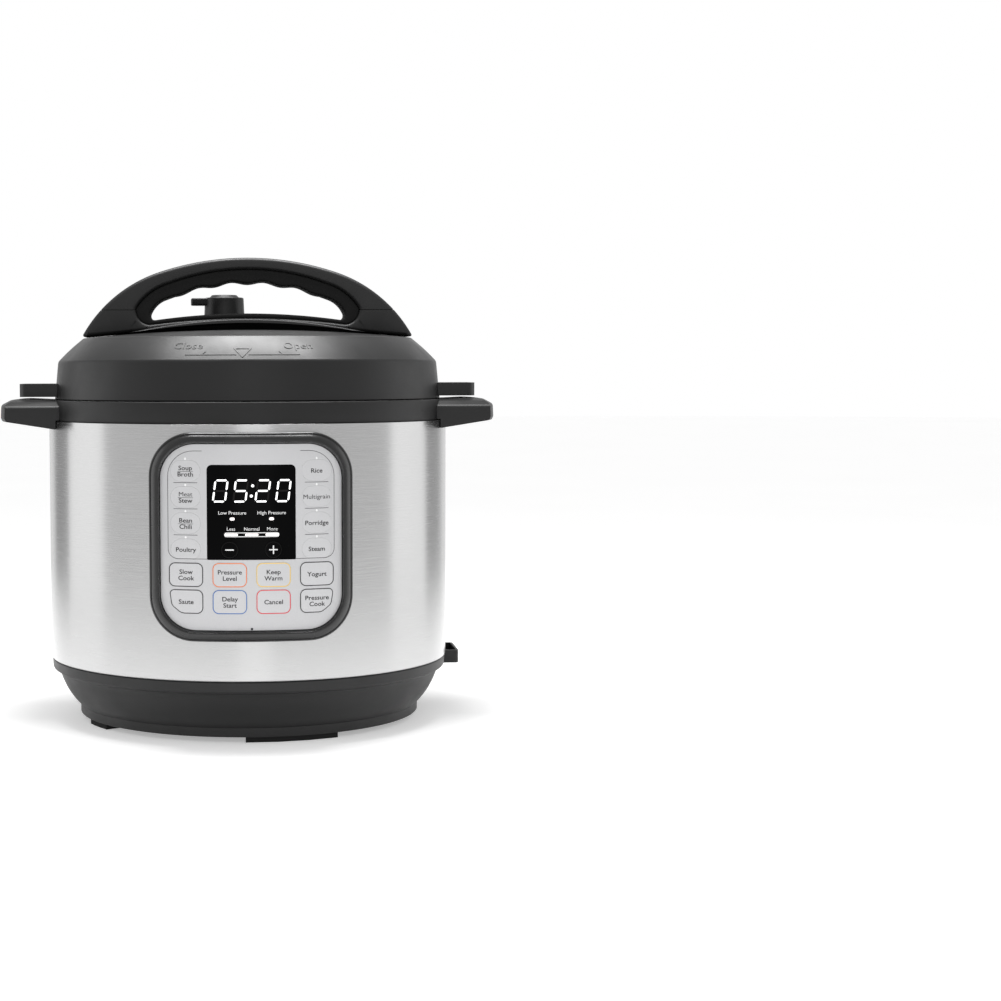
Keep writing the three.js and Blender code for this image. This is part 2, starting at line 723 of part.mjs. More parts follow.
// ---- Lid handle: an arch in two halves round a scalloped grip ----
const handleFootZ = LID_CONE_TOP_Z - 0.2;
const handleSeamZ = handleFootZ + 19.3;
const gripHalf = handleFootX - 37.3;

function archOutline() {
  const H = handleFootX;
  const F = handleFootZ;
  const side = arc([H, F + 0.9], [H - 17.7, F + 24], [H - 51.3, F + 44.6], 7);
  const top = arc([H - 51.3, F + 44.6], [0, F + LID_HANDLE_HEIGHT], [51.3 - H, F + 44.6], 10);
  const other = side.map(([x, z]) => [-x, z]).reverse();
  const under = domeArc(H, 0.7, 10);
  return [...side, ...top.slice(1, -1), ...other, ...under.slice(1, -1)];
}

// The lens-shaped opening that the grip fills; grow shrinks it to make the grip's own outside.
function gripOutline(shrink) {
  const G = gripHalf - shrink;
  const F = handleFootZ;
  const end = arc([G - 23, F + 37.2 - shrink], [G - 8.7, F + 30], [G, F + 20.2], 3);
  const corner = arc([G, F + 20.2], [G - 1.8, F + 13.8 + shrink], [G - 9, F + 9.5 + shrink], 3);
  const top = arc([23 - G, F + 37.2 - shrink], [0, F + 46.8 - shrink], [G - 23, F + 37.2 - shrink], 8);
  const under = arc([G - 9, F + 9.5 + shrink], [0, F + 13.9 + shrink], [9 - G, F + 9.5 + shrink], 8);
  const mirrored = (points) => points.map(([x, z]) => [-x, z]).reverse();
  const right = [...top, ...end.slice(1), ...corner.slice(1), ...under.slice(1)];
  return [...right, ...mirrored(corner).slice(1), ...mirrored(end).slice(1, -1)];
}

function fingerOutline() {
  const G = gripHalf - 9.5;
  const F = handleFootZ;
  const scallops = 22.8;
  const ridge = G - 16.5;
  const top = Array.from({ length: 29 }, (_, i) => {
    const x = -ridge + (2 * ridge * i) / 28;
    return [x, F + 38.6 - 9 * (x / ridge) ** 2 - 0.9 * Math.cos((2 * Math.PI * x) / scallops)];
  });
  const end = arc([G - 10, F + 27], [G - 3, F + 22], [G, F + 17], 2);
  const corner = arc([G, F + 17], [G - 0.8, F + 13.6], [G - 4, F + 12.6], 2);
  const under = arc([G - 4, F + 12.6], [0, F + 17], [4 - G, F + 12.6], 8);
  const mirrored = (points) => points.map(([x, z]) => [-x, z]).reverse();
  const right = [...top, ...end, ...corner.slice(1), ...under.slice(1)];
  return [...right, ...mirrored(corner).slice(1), ...mirrored(end).slice(1)];
}

function handleHalves() {
  const D = LID_HANDLE_HALF_DEPTH;
  const whole = alongY(archOutline(), -D, D, [gripOutline(0)], 2.2, 2);
  const X = handleFootX + 20;
  const above = box(-X, X, -D - 5, D + 5, handleSeamZ + FIT_GAP, handleSeamZ + LID_HANDLE_HEIGHT);
  const below = box(-X, X, -D - 5, D + 5, handleSeamZ - LID_HANDLE_HEIGHT, handleSeamZ);
  return [whole.intersect(below), whole.intersect(above)];
}

function handleGrip() {
  const D = LID_HANDLE_HALF_DEPTH - 1.5;
  return alongY(gripOutline(0.5), -D, D, [fingerOutline()], 1, 1);
}

// ---- Control panel ----
const overlayMiddleZ = (OVERLAY_TOP_Z + OVERLAY_BOTTOM_Z) / 2;
const panelOutline = (grow) =>
  rounded(
    0,
    overlayMiddleZ,
    OVERLAY_WIDTH + 2 * grow,
    OVERLAY_HEIGHT + 2 * grow,
    OVERLAY_CORNER + grow * 0.8,
    4,
  );
const through = (outline) => alongY(outline, -OVERLAY_RADIUS - 20, -40);
const panelBand = (inner, outer, outline) =>
  band(inner, outer, PANEL_BOTTOM_Z - 12, PANEL_TOP_Z + 12).intersect(through(outline));

const BOARD_RADIUS = SHELL_RADIUS + 2.8;
const KEY_BACK = BOARD_RADIUS + KEY_TRAVEL_SPACE;
const OVERLAY_BACK = OVERLAY_RADIUS - 1.2;

function panelBezel() {
  const face = OVERLAY_RADIUS + 3;
  return cut(
    join(
      panelBand(SHELL_RADIUS + 0.4, face - 2.4, panelOutline(BEZEL_WIDTH)),
      panelBand(face - 2.5, face - 1.1, panelOutline(BEZEL_WIDTH - 1)),
      panelBand(face - 1.2, face, panelOutline(BEZEL_WIDTH - 2.6)),
    ),
    panelBand(SHELL_RADIUS - 5, OVERLAY_BACK - FIT_GAP, panelOutline(BEZEL_WIDTH - 2)),
    through(panelOutline(FIT_GAP)),
  );
}

function panelHousing() {
  const outline = panelOutline(BEZEL_WIDTH - 2 - FIT_GAP);
  const tray = panelBand(SHELL_RADIUS + 0.4, OVERLAY_BACK - 2 * FIT_GAP, outline);
  const hollow = panelBand(SHELL_RADIUS + 1.1, OVERLAY_RADIUS + 5, panelOutline(-0.8));
  const wireHole = through(rounded(0, PANEL_BOTTOM_Z + 40, 22, 10, 2, 2));
  return cut(tray, hollow, wireHole);
}

const columnX = (column) => (column - 1.5) * (KEY_WIDTH + KEY_COLUMN_GAP);
const rowZ = (row) =>
  OVERLAY_BOTTOM_Z + OVERLAY_BOTTOM_MARGIN + KEY_HEIGHT / 2 + row * (KEY_HEIGHT + KEY_ROW_GAP);
const windowTopZ = OVERLAY_TOP_Z - WINDOW_TOP_MARGIN;
const windowMiddleZ = windowTopZ - WINDOW_HEIGHT / 2;
const LABEL_PITCH = 16.4;
const labelZ = (row) => windowTopZ - 3.8 - row * LABEL_PITCH;
const minusPlusZ = windowTopZ - WINDOW_HEIGHT + 6.2;
const windowOutline = (grow) =>
  rounded(0, windowMiddleZ, WINDOW_WIDTH + 2 * grow, WINDOW_HEIGHT + 2 * grow, 3 + grow, 2);

const LEFT_NAMES = ["key_soup", "key_stew", "key_beans", "key_poultry"];
const RIGHT_NAMES = ["key_rice", "key_multigrain", "key_porridge", "key_steam"];

// Every key as its name, its outline at a given growth, and how far it stands above the overlay.
const keys = [
  ...LEFT_NAMES.map((name, row) => ({ name, x: columnX(0), z: labelZ(row) })),
  ...RIGHT_NAMES.map((name, row) => ({ name, x: columnX(3), z: labelZ(row) })),
].map((key) => ({ ...key, outline: (grow) => circle(key.x, key.z, 6.6 + grow) }));
[["key_minus", -1], ["key_plus", 1]].forEach(([name, side]) => {
  const x = (side * (KEY_WIDTH + KEY_COLUMN_GAP)) / 2;
  keys.push({ name, inWindow: true, outline: (grow) => circle(x, minusPlusZ, 5.2 + grow) });
});
[
  ["key_slow_cook", 0, 1], ["key_pressure_level", 1, 1], ["key_keep_warm", 2, 1], ["key_yogurt", 3, 1],
  ["key_saute", 0, 0], ["key_delay_start", 1, 0], ["key_cancel", 2, 0], ["key_pressure_cook", 3, 0],
].forEach(([name, column, row]) => {
  const outline = (grow) =>
    rounded(columnX(column), rowZ(row), KEY_WIDTH + 2 * grow, KEY_HEIGHT + 2 * grow, 4 + grow, 2);
  keys.push({ name, nearEdge: true, outline });
});

const keyHoles = (inWindow) =>
  keys.filter((key) => Boolean(key.inWindow) === inWindow).map((key) => through(key.outline(FIT_GAP)));

function keyCap(key) {
  const face = OVERLAY_RADIUS + (key.inWindow ? 0.1 : 0.25);
  const cap = panelBand(KEY_BACK, face, key.outline(0));
  return key.nearEdge ? cap.intersect(through(panelOutline(-KEY_MARGIN + 0.4))) : cap;
}

function panelOverlay() {
  const sheet = panelBand(OVERLAY_BACK, OVERLAY_RADIUS, panelOutline(0));
  return cut(sheet, through(windowOutline(FIT_GAP)), ...keyHoles(false));
}

function displayWindow() {
  return cut(panelBand(OVERLAY_BACK, OVERLAY_RADIUS - 0.1, windowOutline(0)), ...keyHoles(true));
}

function displayModule() {
  const low = minusPlusZ + 8;
  const middle = (low + windowTopZ) / 2;
  const outline = rounded(0, middle, WINDOW_WIDTH - 1, windowTopZ - low, 2, 2);
  return panelBand(BOARD_RADIUS + FIT_GAP, OVERLAY_BACK - FIT_GAP, outline);
}

function controlBoard() {
  return panelBand(BOARD_RADIUS - 1.4, BOARD_RADIUS, panelOutline(-1.5));
}

// ---- Base ----
const baseRing = SHELL_RADIUS - 19.7;
const baseFloorZ = FOOT_HEIGHT + FIT_GAP;

function baseHousing() {
  const R = SHELL_RADIUS;
  const W = CASING_WALL;
  const bowl = arc([R - 6.2, 31], [R - 11.2, 20.2], [baseRing, 9.6], 4);
  const bowlInside = arc([baseRing - W, 11], [R - 13.6, 22], [R - 8.9, 32.4], 2);
  const tub = turned([
    [baseRing - W, baseFloorZ],
    [baseRing, baseFloorZ],
    ...[...bowl].reverse(),
    [R - 4.2, 34.5],
    [R - 1.4, 35.6],
    [R - 0.6, 37.2],
    [R - 0.6, BASE_TOP_Z],
    [R - 1.6, BASE_TOP_Z],
    [R - 1.6, BASE_TOP_Z + 4.7],
    [R - 3.8, BASE_TOP_Z + 4.7],
    [R - 3.8, 38],
    ...[...bowlInside].reverse(),
  ]);
  const [socketFront, socketBack] = [SOCKET_FRONT - FIT_GAP, SOCKET_BACK + FIT_GAP];
  const [socketLow, socketTop] = [SOCKET_LOW - FIT_GAP, SOCKET_TOP + FIT_GAP];
  const socketHole = box(R - 16, R + 5, socketFront, socketBack, socketLow, socketTop);
  const [ix, iz] = [INLET_X, INLET_Z];
  const [halfWidth, halfHeight] = [INLET_HALF + FIT_GAP, 12 + FIT_GAP];
  const inletHole = box(ix - halfWidth, ix + halfWidth, 60, R + 5, iz - halfHeight, iz + halfHeight);
  return cut(tub, socketHole, inletHole);
}

function bottomCover() {
  const R = baseRing - CASING_WALL - FIT_GAP;
  const disc = turned([
    [0, baseFloorZ],
    [R, baseFloorZ],
    [R, baseFloorZ + 6],
    [R - 2, baseFloorZ + 6],
    [R - 2, baseFloorZ + 2.4],
    [0, baseFloorZ + 2.4],
  ]);
  const vents = Array.from({ length: 8 }, (_, i) => sector(40, 82, 45 * i + 19, 45 * i + 26, 0, 20, 1));
  const pegHoles = feet.map(({ from, to }) => {
    const [x, y] = onCircle(FOOT_RADIUS, (from + to) / 2);
    return post(x, y, 2.4 + FIT_GAP, 0, 20, 8);
  });
  return cut(disc, ...vents, ...pegHoles);
}

// Each foot pad spans these azimuths; the peg in its middle goes up through the bottom cover.
const FOOT_RADIUS = SHELL_RADIUS - 27.2;
const feet = [
  { name: "foot_front_right", from: -2, to: 29 },
  { name: "foot_front_left", from: -69, to: -56 },
  { name: "foot_rear_left", from: 178, to: 209 },
  { name: "foot_rear_right", from: 111, to: 124 },
];

function foot({ from, to }) {
  const pad = sector(FOOT_RADIUS - 6, FOOT_RADIUS + 6, from, to, 0, FOOT_HEIGHT, 3);
  const [x, y] = onCircle(FOOT_RADIUS, (from + to) / 2);
  return join(pad, post(x, y, 2.4, FOOT_HEIGHT - 1, baseFloorZ + 5, 8));
}

// The small open-topped socket on the right-hand side of the base.
const SOCKET_FRONT = 6;
const SOCKET_BACK = 46;
const SOCKET_LOW = 32;
const SOCKET_TOP = 41;
function accessorySocket() {
  const reach = SHELL_RADIUS + 11.1;
  const middle = (SOCKET_FRONT + SOCKET_BACK) / 2;
  const outline = rounded(reach - 13, middle, 26, SOCKET_BACK - SOCKET_FRONT, 2.5, 3);
  const block = alongZ(outline, SOCKET_LOW, SOCKET_TOP);
  const pocket = alongZ(rounded(reach - 5.1, middle, 7, 36, 1.5, 2), SOCKET_LOW + 2, SOCKET_TOP + 3);
  return cut(block, pocket);
}

// The mains inlet at the back of the base: a recessed housing and its three blades.
const INLET_X = 42;
const INLET_Z = 24;
const INLET_HALF = 16;
const INLET_BACK = SHELL_RADIUS - 6;
function inletHousing() {
  const outer = alongY(rounded(INLET_X, INLET_Z, 2 * INLET_HALF, 24, 3, 2), INLET_BACK - 26, INLET_BACK);
  const recess = alongY(rounded(INLET_X, INLET_Z, 25, 17, 4, 2), INLET_BACK - 18, INLET_BACK + 4);
  const bladeHoles = blades.map(([dx, dz]) => bladeBlock(dx, dz, FIT_GAP, INLET_BACK - 30, INLET_BACK - 10));
  return cut(outer, recess, ...bladeHoles);
}

const blades = [[-7, -2], [0, 2], [7, -2]];
const bladeBlock = (dx, dz, grow, front, back) =>
  box(
    INLET_X + dx - 1 - grow,
    INLET_X + dx + 1 + grow,
    front,
    back,
    INLET_Z + dz - 2 - grow,
    INLET_Z + dz + 2 + grow,
  );
function powerInlet() {
  const carrier = alongY(rounded(INLET_X, INLET_Z, 28, 18, 2, 2), INLET_BACK - 31, INLET_BACK - 26 - FIT_GAP);
  const pins = blades.map(([dx, dz]) => bladeBlock(dx, dz, 0, INLET_BACK - 38, INLET_BACK - 4));
  return join(carrier, ...pins);
}

function powerBoard() {
  const z = baseFloorZ + 10;
  const board = box(-78, 12, -45, 40, z, z + 1.6);
  const parts = [
    box(-72, -50, -38, -16, z + 1.2, z + 14),
    box(-44, -28, -40, -20, z + 1.2, z + 12),
    box(-70, -40, 4, 30, z + 1.2, z + 10),
    post(-10, -30, 7, z + 1.2, z + 13, 16),
    post(-10, -12, 5, z + 1.2, z + 11, 16),
    box(-30, 6, 12, 28, z + 1.2, z + 6),
  ];
  return join(board, ...parts);
}

// ---- Condensation collector: a cup that hangs on the rail and pulls straight back ----
function condensationCollector() {
  const W = COLLECTOR_WIDTH;
  const top = COLLAR_BOTTOM_Z - 1.6;
  const low = top - COLLECTOR_HEIGHT;
  const front = SHELL_RADIUS + 0.9;
  const back = SHELL_RADIUS + COLLECTOR_REACH;
  const middle = (front + back) / 2;
  const cup = alongZ(rounded(0, middle, W, back - front, 3, 3), low, top);
  const cavity = alongZ(rounded(0, middle, W - 3, back - front - 3, 2, 2), low + 1.8, RAIL_Z + 1.5 + FIT_GAP);
  const [wayLow, wayHigh] = [RAIL_Z - 1.5 - 2 * FIT_GAP, RAIL_Z + 1.5 + FIT_GAP];
  const railWay = box(-W / 2 + 1.4, W / 2 - 1.4, front - 5, middle, wayLow, wayHigh);
  const neckWay = box(-10 - 0.5, 10 + 0.5, front - 5, RAIL_BACK + 0.6, RAIL_Z - 1, top + 5);
  return cut(cup, cavity, railWay, neckWay);
}

// ---- Assembly ----
const cooker = new THREE.Group();
function place(name, manifold, material) {
  const mesh = new THREE.Mesh(geometryOf(manifold), material);
  mesh.name = name;
  cooker.add(mesh);
}

place("outer_shell", outerShell(), STEEL);
place("top_ring", topRing(), DARK_PLASTIC);
place("outer_pot", outerPot(), ALUMINIUM);
place("heating_plate", heatingPlate(), ALUMINIUM);
place("heating_element", heatingElement(), STEEL);
place("sensor_cap", sensorCap(), ALUMINIUM);
place("sensor_bracket", sensorBracket(), STEEL);
place("sensor_spring", sensorSpring(), STEEL);
place("pressure_switch", pressureSwitch(), DARK_PLASTIC);
place("inner_pot", innerPot(), STEEL);
place("base_housing", baseHousing(), DARK_PLASTIC);
place("bottom_cover", bottomCover(), DARK_PLASTIC);
feet.forEach((one) => place(one.name, foot(one), RUBBER));
place("accessory_socket", accessorySocket(), DARK_PLASTIC);
place("inlet_housing", inletHousing(), DARK_PLASTIC);
place("power_inlet", powerInlet(), BRASS);
place("power_board", powerBoard(), CIRCUIT_GREEN);
place("condensation_collector", condensationCollector(), CLEAR_PLASTIC);
place("lid_shell", lidShell(), DARK_PLASTIC);
place("lid_plate", lidPlate(), STEEL);
place("sealing_ring", sealingRing(), SILICONE);
place("sealing_ring_rack", sealingRingRack(), STEEL);
const [lowerHalf, upperHalf] = handleHalves();
place("handle_lower", lowerHalf, DARK_PLASTIC);
place("handle_upper", upperHalf, DARK_PLASTIC);
place("handle_grip", handleGrip(), RUBBER);
place("steam_pipe", steamPipe(), STEEL);
place("steam_pipe_nut", steamPipeNut(), STEEL);
place("anti_block_shield", antiBlockShield(), STEEL);
place("valve_weight", valveWeight(), ALUMINIUM);
place("valve_handle", valveHandle(), DARK_PLASTIC);
place("float_valve", floatValve(), STEEL);
place("float_cap", floatCap(), SILICONE);
place("locking_pin", lockingPin(), STEEL);
place("panel_housing", panelHousing(), DARK_PLASTIC);
place("panel_bezel", panelBezel(), PANEL_PLASTIC);
place("panel_overlay", panelOverlay(), SILVER_FILM);
place("display_window", displayWindow(), GLASS_BLACK);
place("display_module", displayModule(), CIRCUIT_GREEN);
place("control_board", controlBoard(), CIRCUIT_GREEN);
keys.forEach((key) => place(key.name, keyCap(key), key.inWindow ? GLASS_BLACK : SILVER_FILM));

export default cooker;
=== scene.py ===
"""Electric pressure cooker: the finished surfaces, printing, materials and studio built round the packed model."""

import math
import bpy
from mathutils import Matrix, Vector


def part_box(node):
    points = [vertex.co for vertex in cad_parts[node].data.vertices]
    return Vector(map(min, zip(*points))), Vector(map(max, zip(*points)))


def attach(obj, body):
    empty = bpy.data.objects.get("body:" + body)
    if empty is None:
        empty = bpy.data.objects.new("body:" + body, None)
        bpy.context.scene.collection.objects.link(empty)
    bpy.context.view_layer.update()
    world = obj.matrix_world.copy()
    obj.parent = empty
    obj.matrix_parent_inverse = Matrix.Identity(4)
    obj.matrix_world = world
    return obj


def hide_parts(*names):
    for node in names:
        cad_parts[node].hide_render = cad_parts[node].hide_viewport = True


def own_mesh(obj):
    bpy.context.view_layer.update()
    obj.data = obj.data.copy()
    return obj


bl_info = {
    "name": "Electric pressure cooker",
    "version": (1, 0, 0),
    "blender": (4, 5, 0),
    "location": "View3D > Sidebar > Cooker",
    "description": "Builds the visible pieces, finishes and studio of an electric pressure cooker",
    "category": "Object",
}

import bmesh
import bpy
from bpy.props import FloatProperty, FloatVectorProperty, IntProperty, PointerProperty
from mathutils import Matrix, Vector

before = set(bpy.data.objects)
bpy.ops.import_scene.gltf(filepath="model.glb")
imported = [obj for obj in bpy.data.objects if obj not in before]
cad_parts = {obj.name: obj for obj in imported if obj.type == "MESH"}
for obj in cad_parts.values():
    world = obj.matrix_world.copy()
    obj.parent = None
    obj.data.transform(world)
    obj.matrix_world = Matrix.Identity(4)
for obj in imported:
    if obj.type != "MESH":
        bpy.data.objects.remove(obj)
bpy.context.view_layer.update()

UNIT = 0.001


# ---- Places from the frame, in millimetres ----
def node_box(node):
    low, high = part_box(node)
    return [value / UNIT for value in low], [value / UNIT for value in high]


def centre_of(node):
    return [(low + high) / 2 for low, high in zip(*node_box(node))]


SHELL_LOW, SHELL_HIGH = node_box("outer_shell")
SHELL_R = SHELL_HIGH[0]
SHELL_TOP = SHELL_HIGH[2]
BASE_TOP = SHELL_LOW[2] - 0.5
LID_LOW = node_box("lid_shell")[0][2]
LID_TOP = node_box("lid_shell")[1][2]
LID_R = SHELL_R - 4.2
SHOULDER_Z = LID_LOW + 24.6
CONE_TOP_Z = SHOULDER_Z + 17.1
CONE_TOP_R = LID_R - 20
COLLAR_R = SHELL_R - 1.9
COLLAR_IN = COLLAR_R - 3.7
COLLAR_LOW = SHELL_TOP + 0.3
COLLAR_TOP = COLLAR_LOW + 13.7
RAIL_Z = COLLAR_LOW - 6.5
HANDLE_REACH = node_box("top_ring")[1][0]
OVERLAY_LOW, OVERLAY_HIGH = node_box("panel_overlay")
OVERLAY_R = SHELL_R + 7.8
FILM_BACK = OVERLAY_R - 1.1
GLASS_R = OVERLAY_R - 0.05
CAP_BACK = SHELL_R + 4.2
WINDOW_LOW, WINDOW_HIGH = node_box("display_window")
POT_LOW, POT_HIGH = node_box("inner_pot")
VALVE_X = -16
VALVE_Y = 42
FLOAT_PLACE = (20, 44)
FOOT_Z = CONE_TOP_Z - 0.2
FOOT_X = CONE_TOP_R + 0.6
GRIP_HALF = FOOT_X - 37.3

UPPER_KEYS = {
    "key_soup": ("Soup", "Broth"),
    "key_stew": ("Meat", "Stew"),
    "key_beans": ("Bean", "Chili"),
    "key_poultry": ("Poultry",),
    "key_rice": ("Rice",),
    "key_multigrain": ("Multigrain",),
    "key_porridge": ("Porridge",),
    "key_steam": ("Steam",),
}
LOWER_KEYS = {
    "key_slow_cook": ("Slow", "Cook"),
    "key_pressure_level": ("Pressure", "Level"),
    "key_keep_warm": ("Keep", "Warm"),
    "key_yogurt": ("Yogurt",),
    "key_saute": ("Saute",),
    "key_delay_start": ("Delay", "Start"),
    "key_cancel": ("Cancel",),
    "key_pressure_cook": ("Pressure", "Cook"),
}


# ---- Sizes and colours that a user would change ----
class CookerSizes(bpy.types.PropertyGroup):
    """Sizes of the visible surfaces"""

    turn_steps: IntProperty(
        name="Steps round", description="Facets round each turned piece", default=144, min=48, max=360
    )
    print_relief: FloatProperty(
        name="Print relief", description="How far printed ink stands off its film",
        default=0.00004, subtype="DISTANCE", unit="LENGTH",
    )
    edge_rounding: FloatProperty(
        name="Edge rounding", description="Radius on the side handles' moulded edges",
        default=0.0012, subtype="DISTANCE", unit="LENGTH",
    )


class CookerColours(bpy.types.PropertyGroup):
    """Colours of the main finishes"""

    steel: FloatVectorProperty(
        name="Steel", description="Brushed outer shell", subtype="COLOR", size=3, default=(0.52, 0.52, 0.52)
    )
    plastic: FloatVectorProperty(
        name="Plastic", description="Black moulded plastic", subtype="COLOR", size=3, default=(0.0048, 0.0048, 0.0050)
    )
    film: FloatVectorProperty(
        name="Film", description="Silver panel film", subtype="COLOR", size=3, default=(0.56, 0.56, 0.57)
    )
    ink: FloatVectorProperty(
        name="Ink", description="Dark printed ink", subtype="COLOR", size=3, default=(0.012, 0.012, 0.014)
    )


def sizes():
    return bpy.context.scene.cooker_sizes


def colours():
    return bpy.context.scene.cooker_colours


# ---- Outlines ----
def arc(a, b, c, steps):
    """Points from a to c along the circle through b."""
    (ax, ay), (bx, by), (cx, cy) = a, b, c
    d = 2 * (ax * (by - cy) + bx * (cy - ay) + cx * (ay - by))
    aa, bb, cc = ax * ax + ay * ay, bx * bx + by * by, cx * cx + cy * cy
    ox = (aa * (by - cy) + bb * (cy - ay) + cc * (ay - by)) / d
    oy = (aa * (cx - bx) + bb * (ax - cx) + cc * (bx - ax)) / d
    start = math.atan2(ay - oy, ax - ox)
    sweep = (math.atan2(cy - oy, cx - ox) - start) % math.tau
    if (math.atan2(by - oy, bx - ox) - start) % math.tau > sweep:
        sweep -= math.tau
    radius = math.hypot(ax - ox, ay - oy)
    angles = [start + sweep * i / steps for i in range(steps + 1)]
    return [(ox + radius * math.cos(t), oy + radius * math.sin(t)) for t in angles]


def filleted(corners, steps=5):
    """A closed outline from (x, y, radius) corners, each rounded to its radius."""
    points = []
    count = len(corners)
    for i, (x, y, radius) in enumerate(corners):
        here = Vector((x, y))
        before = Vector(corners[i - 1][:2]) - here
        after = Vector(corners[(i + 1) % count][:2]) - here
        half = before.angle(after) / 2
        reach = radius / math.tan(half) if half > 1e-6 else 0
        reach = min(reach, before.length * 0.499, after.length * 0.499)
        if radius <= 0 or reach < 1e-6:
            points.append((x, y))
            continue
        start = here + before.normalized() * reach
        end = here + after.normalized() * reach
        inward = (before.normalized() + after.normalized()).normalized()
        real = reach * math.tan(half)
        middle = here + inward * (real / math.sin(half) - real)
        points += arc(start, middle, end, steps)
    return points


def box_outline(cx, cy, width, height, radius, steps=6):
    w, h = width / 2, height / 2
    return filleted([(cx + i * w, cy + j * h, radius) for i, j in ((-1, -1), (1, -1), (1, 1), (-1, 1))], steps)


def round_outline(cx, cy, radius, steps=40):
    angles = [math.tau * i / steps for i in range(steps)]
    return [(cx + radius * math.cos(t), cy + radius * math.sin(t)) for t in angles]


def mirrored(points):
    return [(-x, z) for x, z in reversed(points)]


def tidy_outline(points):
    """The outline without repeated neighbours, running anticlockwise."""
    kept = []
    for point in points:
        if not kept or math.dist(point, kept[-1]) > 1e-4:
            kept.append(tuple(point))
    if math.dist(kept[0], kept[-1]) < 1e-4:
        kept.pop()
    area = sum(x * ny - nx * y for (x, y), (nx, ny) in zip(kept, kept[1:] + kept[:1]))
    return kept if area > 0 else kept[::-1]


# ---- Meshes, made in millimetres and stored in metres ----
SHARP = 35  # Corners that turn by more degrees than this stay crisp.


def finish_mesh(mesh, sharp=SHARP):
    mesh.polygons.foreach_set("use_smooth", [True] * len(mesh.polygons))
    mesh.set_sharp_from_angle(angle=math.radians(sharp))
    return mesh


def mesh_from(bm, sharp=SHARP, scale=UNIT):
    bmesh.ops.scale(bm, vec=(scale, scale, scale), verts=bm.verts)
    bmesh.ops.recalc_face_normals(bm, faces=bm.faces)
    mesh = bpy.data.meshes.new("surface")
    bm.to_mesh(mesh)
    bm.free()
    return finish_mesh(mesh, sharp)


def linked(name, data):
    """A new object in the scene."""
    made = bpy.data.objects.new(name, data)
    bpy.context.scene.collection.objects.link(made)
    return made


def baked(holder, *tools):
    """The mesh that an object's modifiers leave; the object and its tools go."""
    made = bpy.data.meshes.new_from_object(holder.evaluated_get(bpy.context.evaluated_depsgraph_get()))
    for item in (holder, *tools):
        old = item.data
        bpy.data.objects.remove(item)
        (bpy.data.meshes if isinstance(old, bpy.types.Mesh) else bpy.data.curves).remove(old)
    return made


def skin_rings(bm, rings):
    """Joins each ring of points to the next, and the last to the first."""
    for ring, following in zip(rings, rings[1:] + rings[:1]):
        for i in range(len(ring)):
            corners = list(dict.fromkeys((ring[i - 1], ring[i], following[i], following[i - 1])))
            if len(corners) > 2:
                bm.faces.new(corners)


def turned(profile, steps=None, centre=(0, 0)):
    """A closed (radius, z) profile turned about a vertical axis."""
    steps = steps or sizes().turn_steps
    x, y = centre
    angles = [math.tau * i / steps for i in range(steps)]
    bm = bmesh.new()
    rings = []
    for r, z in tidy_outline(profile):
        if r < 1e-6:
            rings.append([bm.verts.new((x, y, z))] * steps)
        else:
            rings.append([bm.verts.new((x + r * math.sin(t), y - r * math.cos(t), z)) for t in angles])
    skin_rings(bm, rings)
    return mesh_from(bm)


AXES = {
    "Z": Matrix.Identity(4),
    "Y": Matrix(((1, 0, 0, 0), (0, 0, -1, 0), (0, 1, 0, 0), (0, 0, 0, 1))),
    "X": Matrix(((0, 0, 1, 0), (1, 0, 0, 0), (0, 1, 0, 0), (0, 0, 0, 1))),
}


def slab_bmesh(outline, low, high, holes=()):
    """An outline with holes, filled and given thickness along Z."""
    bm = bmesh.new()
    edges = []
    for loop in [outline, *holes]:
        verts = [bm.verts.new((x, y, low)) for x, y in tidy_outline(loop)]
        edges += [bm.edges.new((verts[i - 1], verts[i])) for i in range(len(verts))]
    if holes:
        bmesh.ops.triangle_fill(bm, edges=edges, use_beauty=True, normal=(0, 0, 1))
    else:
        bmesh.ops.contextual_create(bm, geom=edges)
    made = bmesh.ops.extrude_face_region(bm, geom=bm.faces[:])
    lifted = [item for item in made["geom"] if isinstance(item, bmesh.types.BMVert)]
    bmesh.ops.translate(bm, vec=(0, 0, high - low), verts=lifted)
    return bm


def slab(outline, low, high, axis="Z", holes=()):
    """A flat piece: the outline lies across the axis, and low and high are places along it."""
    if axis == "Y":
        low, high = -high, -low
    bm = slab_bmesh(outline, low, high, holes)
    bmesh.ops.transform(bm, matrix=AXES[axis], verts=bm.verts)
    return mesh_from(bm)


STRIP = 2.4


def bisect(bm, at, facing, **how):
    bmesh.ops.bisect_plane(bm, geom=bm.verts[:] + bm.edges[:] + bm.faces[:], plane_co=at, plane_no=facing, **how)


def cut_strips(bm, first, last):
    """Cuts a flat piece into narrow upright strips, so that it can bend."""
    for i in range(first, last):
        bisect(bm, (i * STRIP, 0, 0), (1, 0, 0), dist=1e-4)


def wrap(bm, sharp=SHARP):
    """Bends a flat piece round the body: X stays, Y is height, and Z is the distance from the pot's axis."""
    xs = [vert.co.x for vert in bm.verts]
    cut_strips(bm, math.floor(min(xs) / STRIP) + 1, math.ceil(max(xs) / STRIP))
    for vert in bm.verts:
        x, height, radius = vert.co
        vert.co = (x, -math.sqrt(radius * radius - x * x), height)
    return mesh_from(bm, sharp)


def bent_slab(outline, inner, outer, holes=()):
    return wrap(slab_bmesh(outline, inner, outer, holes))


def swept_frame(outline_at, section, sharp):
    """A closed section of (growth, radius) points carried round an outline on the body."""
    bm = bmesh.new()
    skin_rings(bm, [[bm.verts.new((x, z, radius)) for x, z in outline_at(grow)] for grow, radius in section])
    return wrap(bm, sharp)


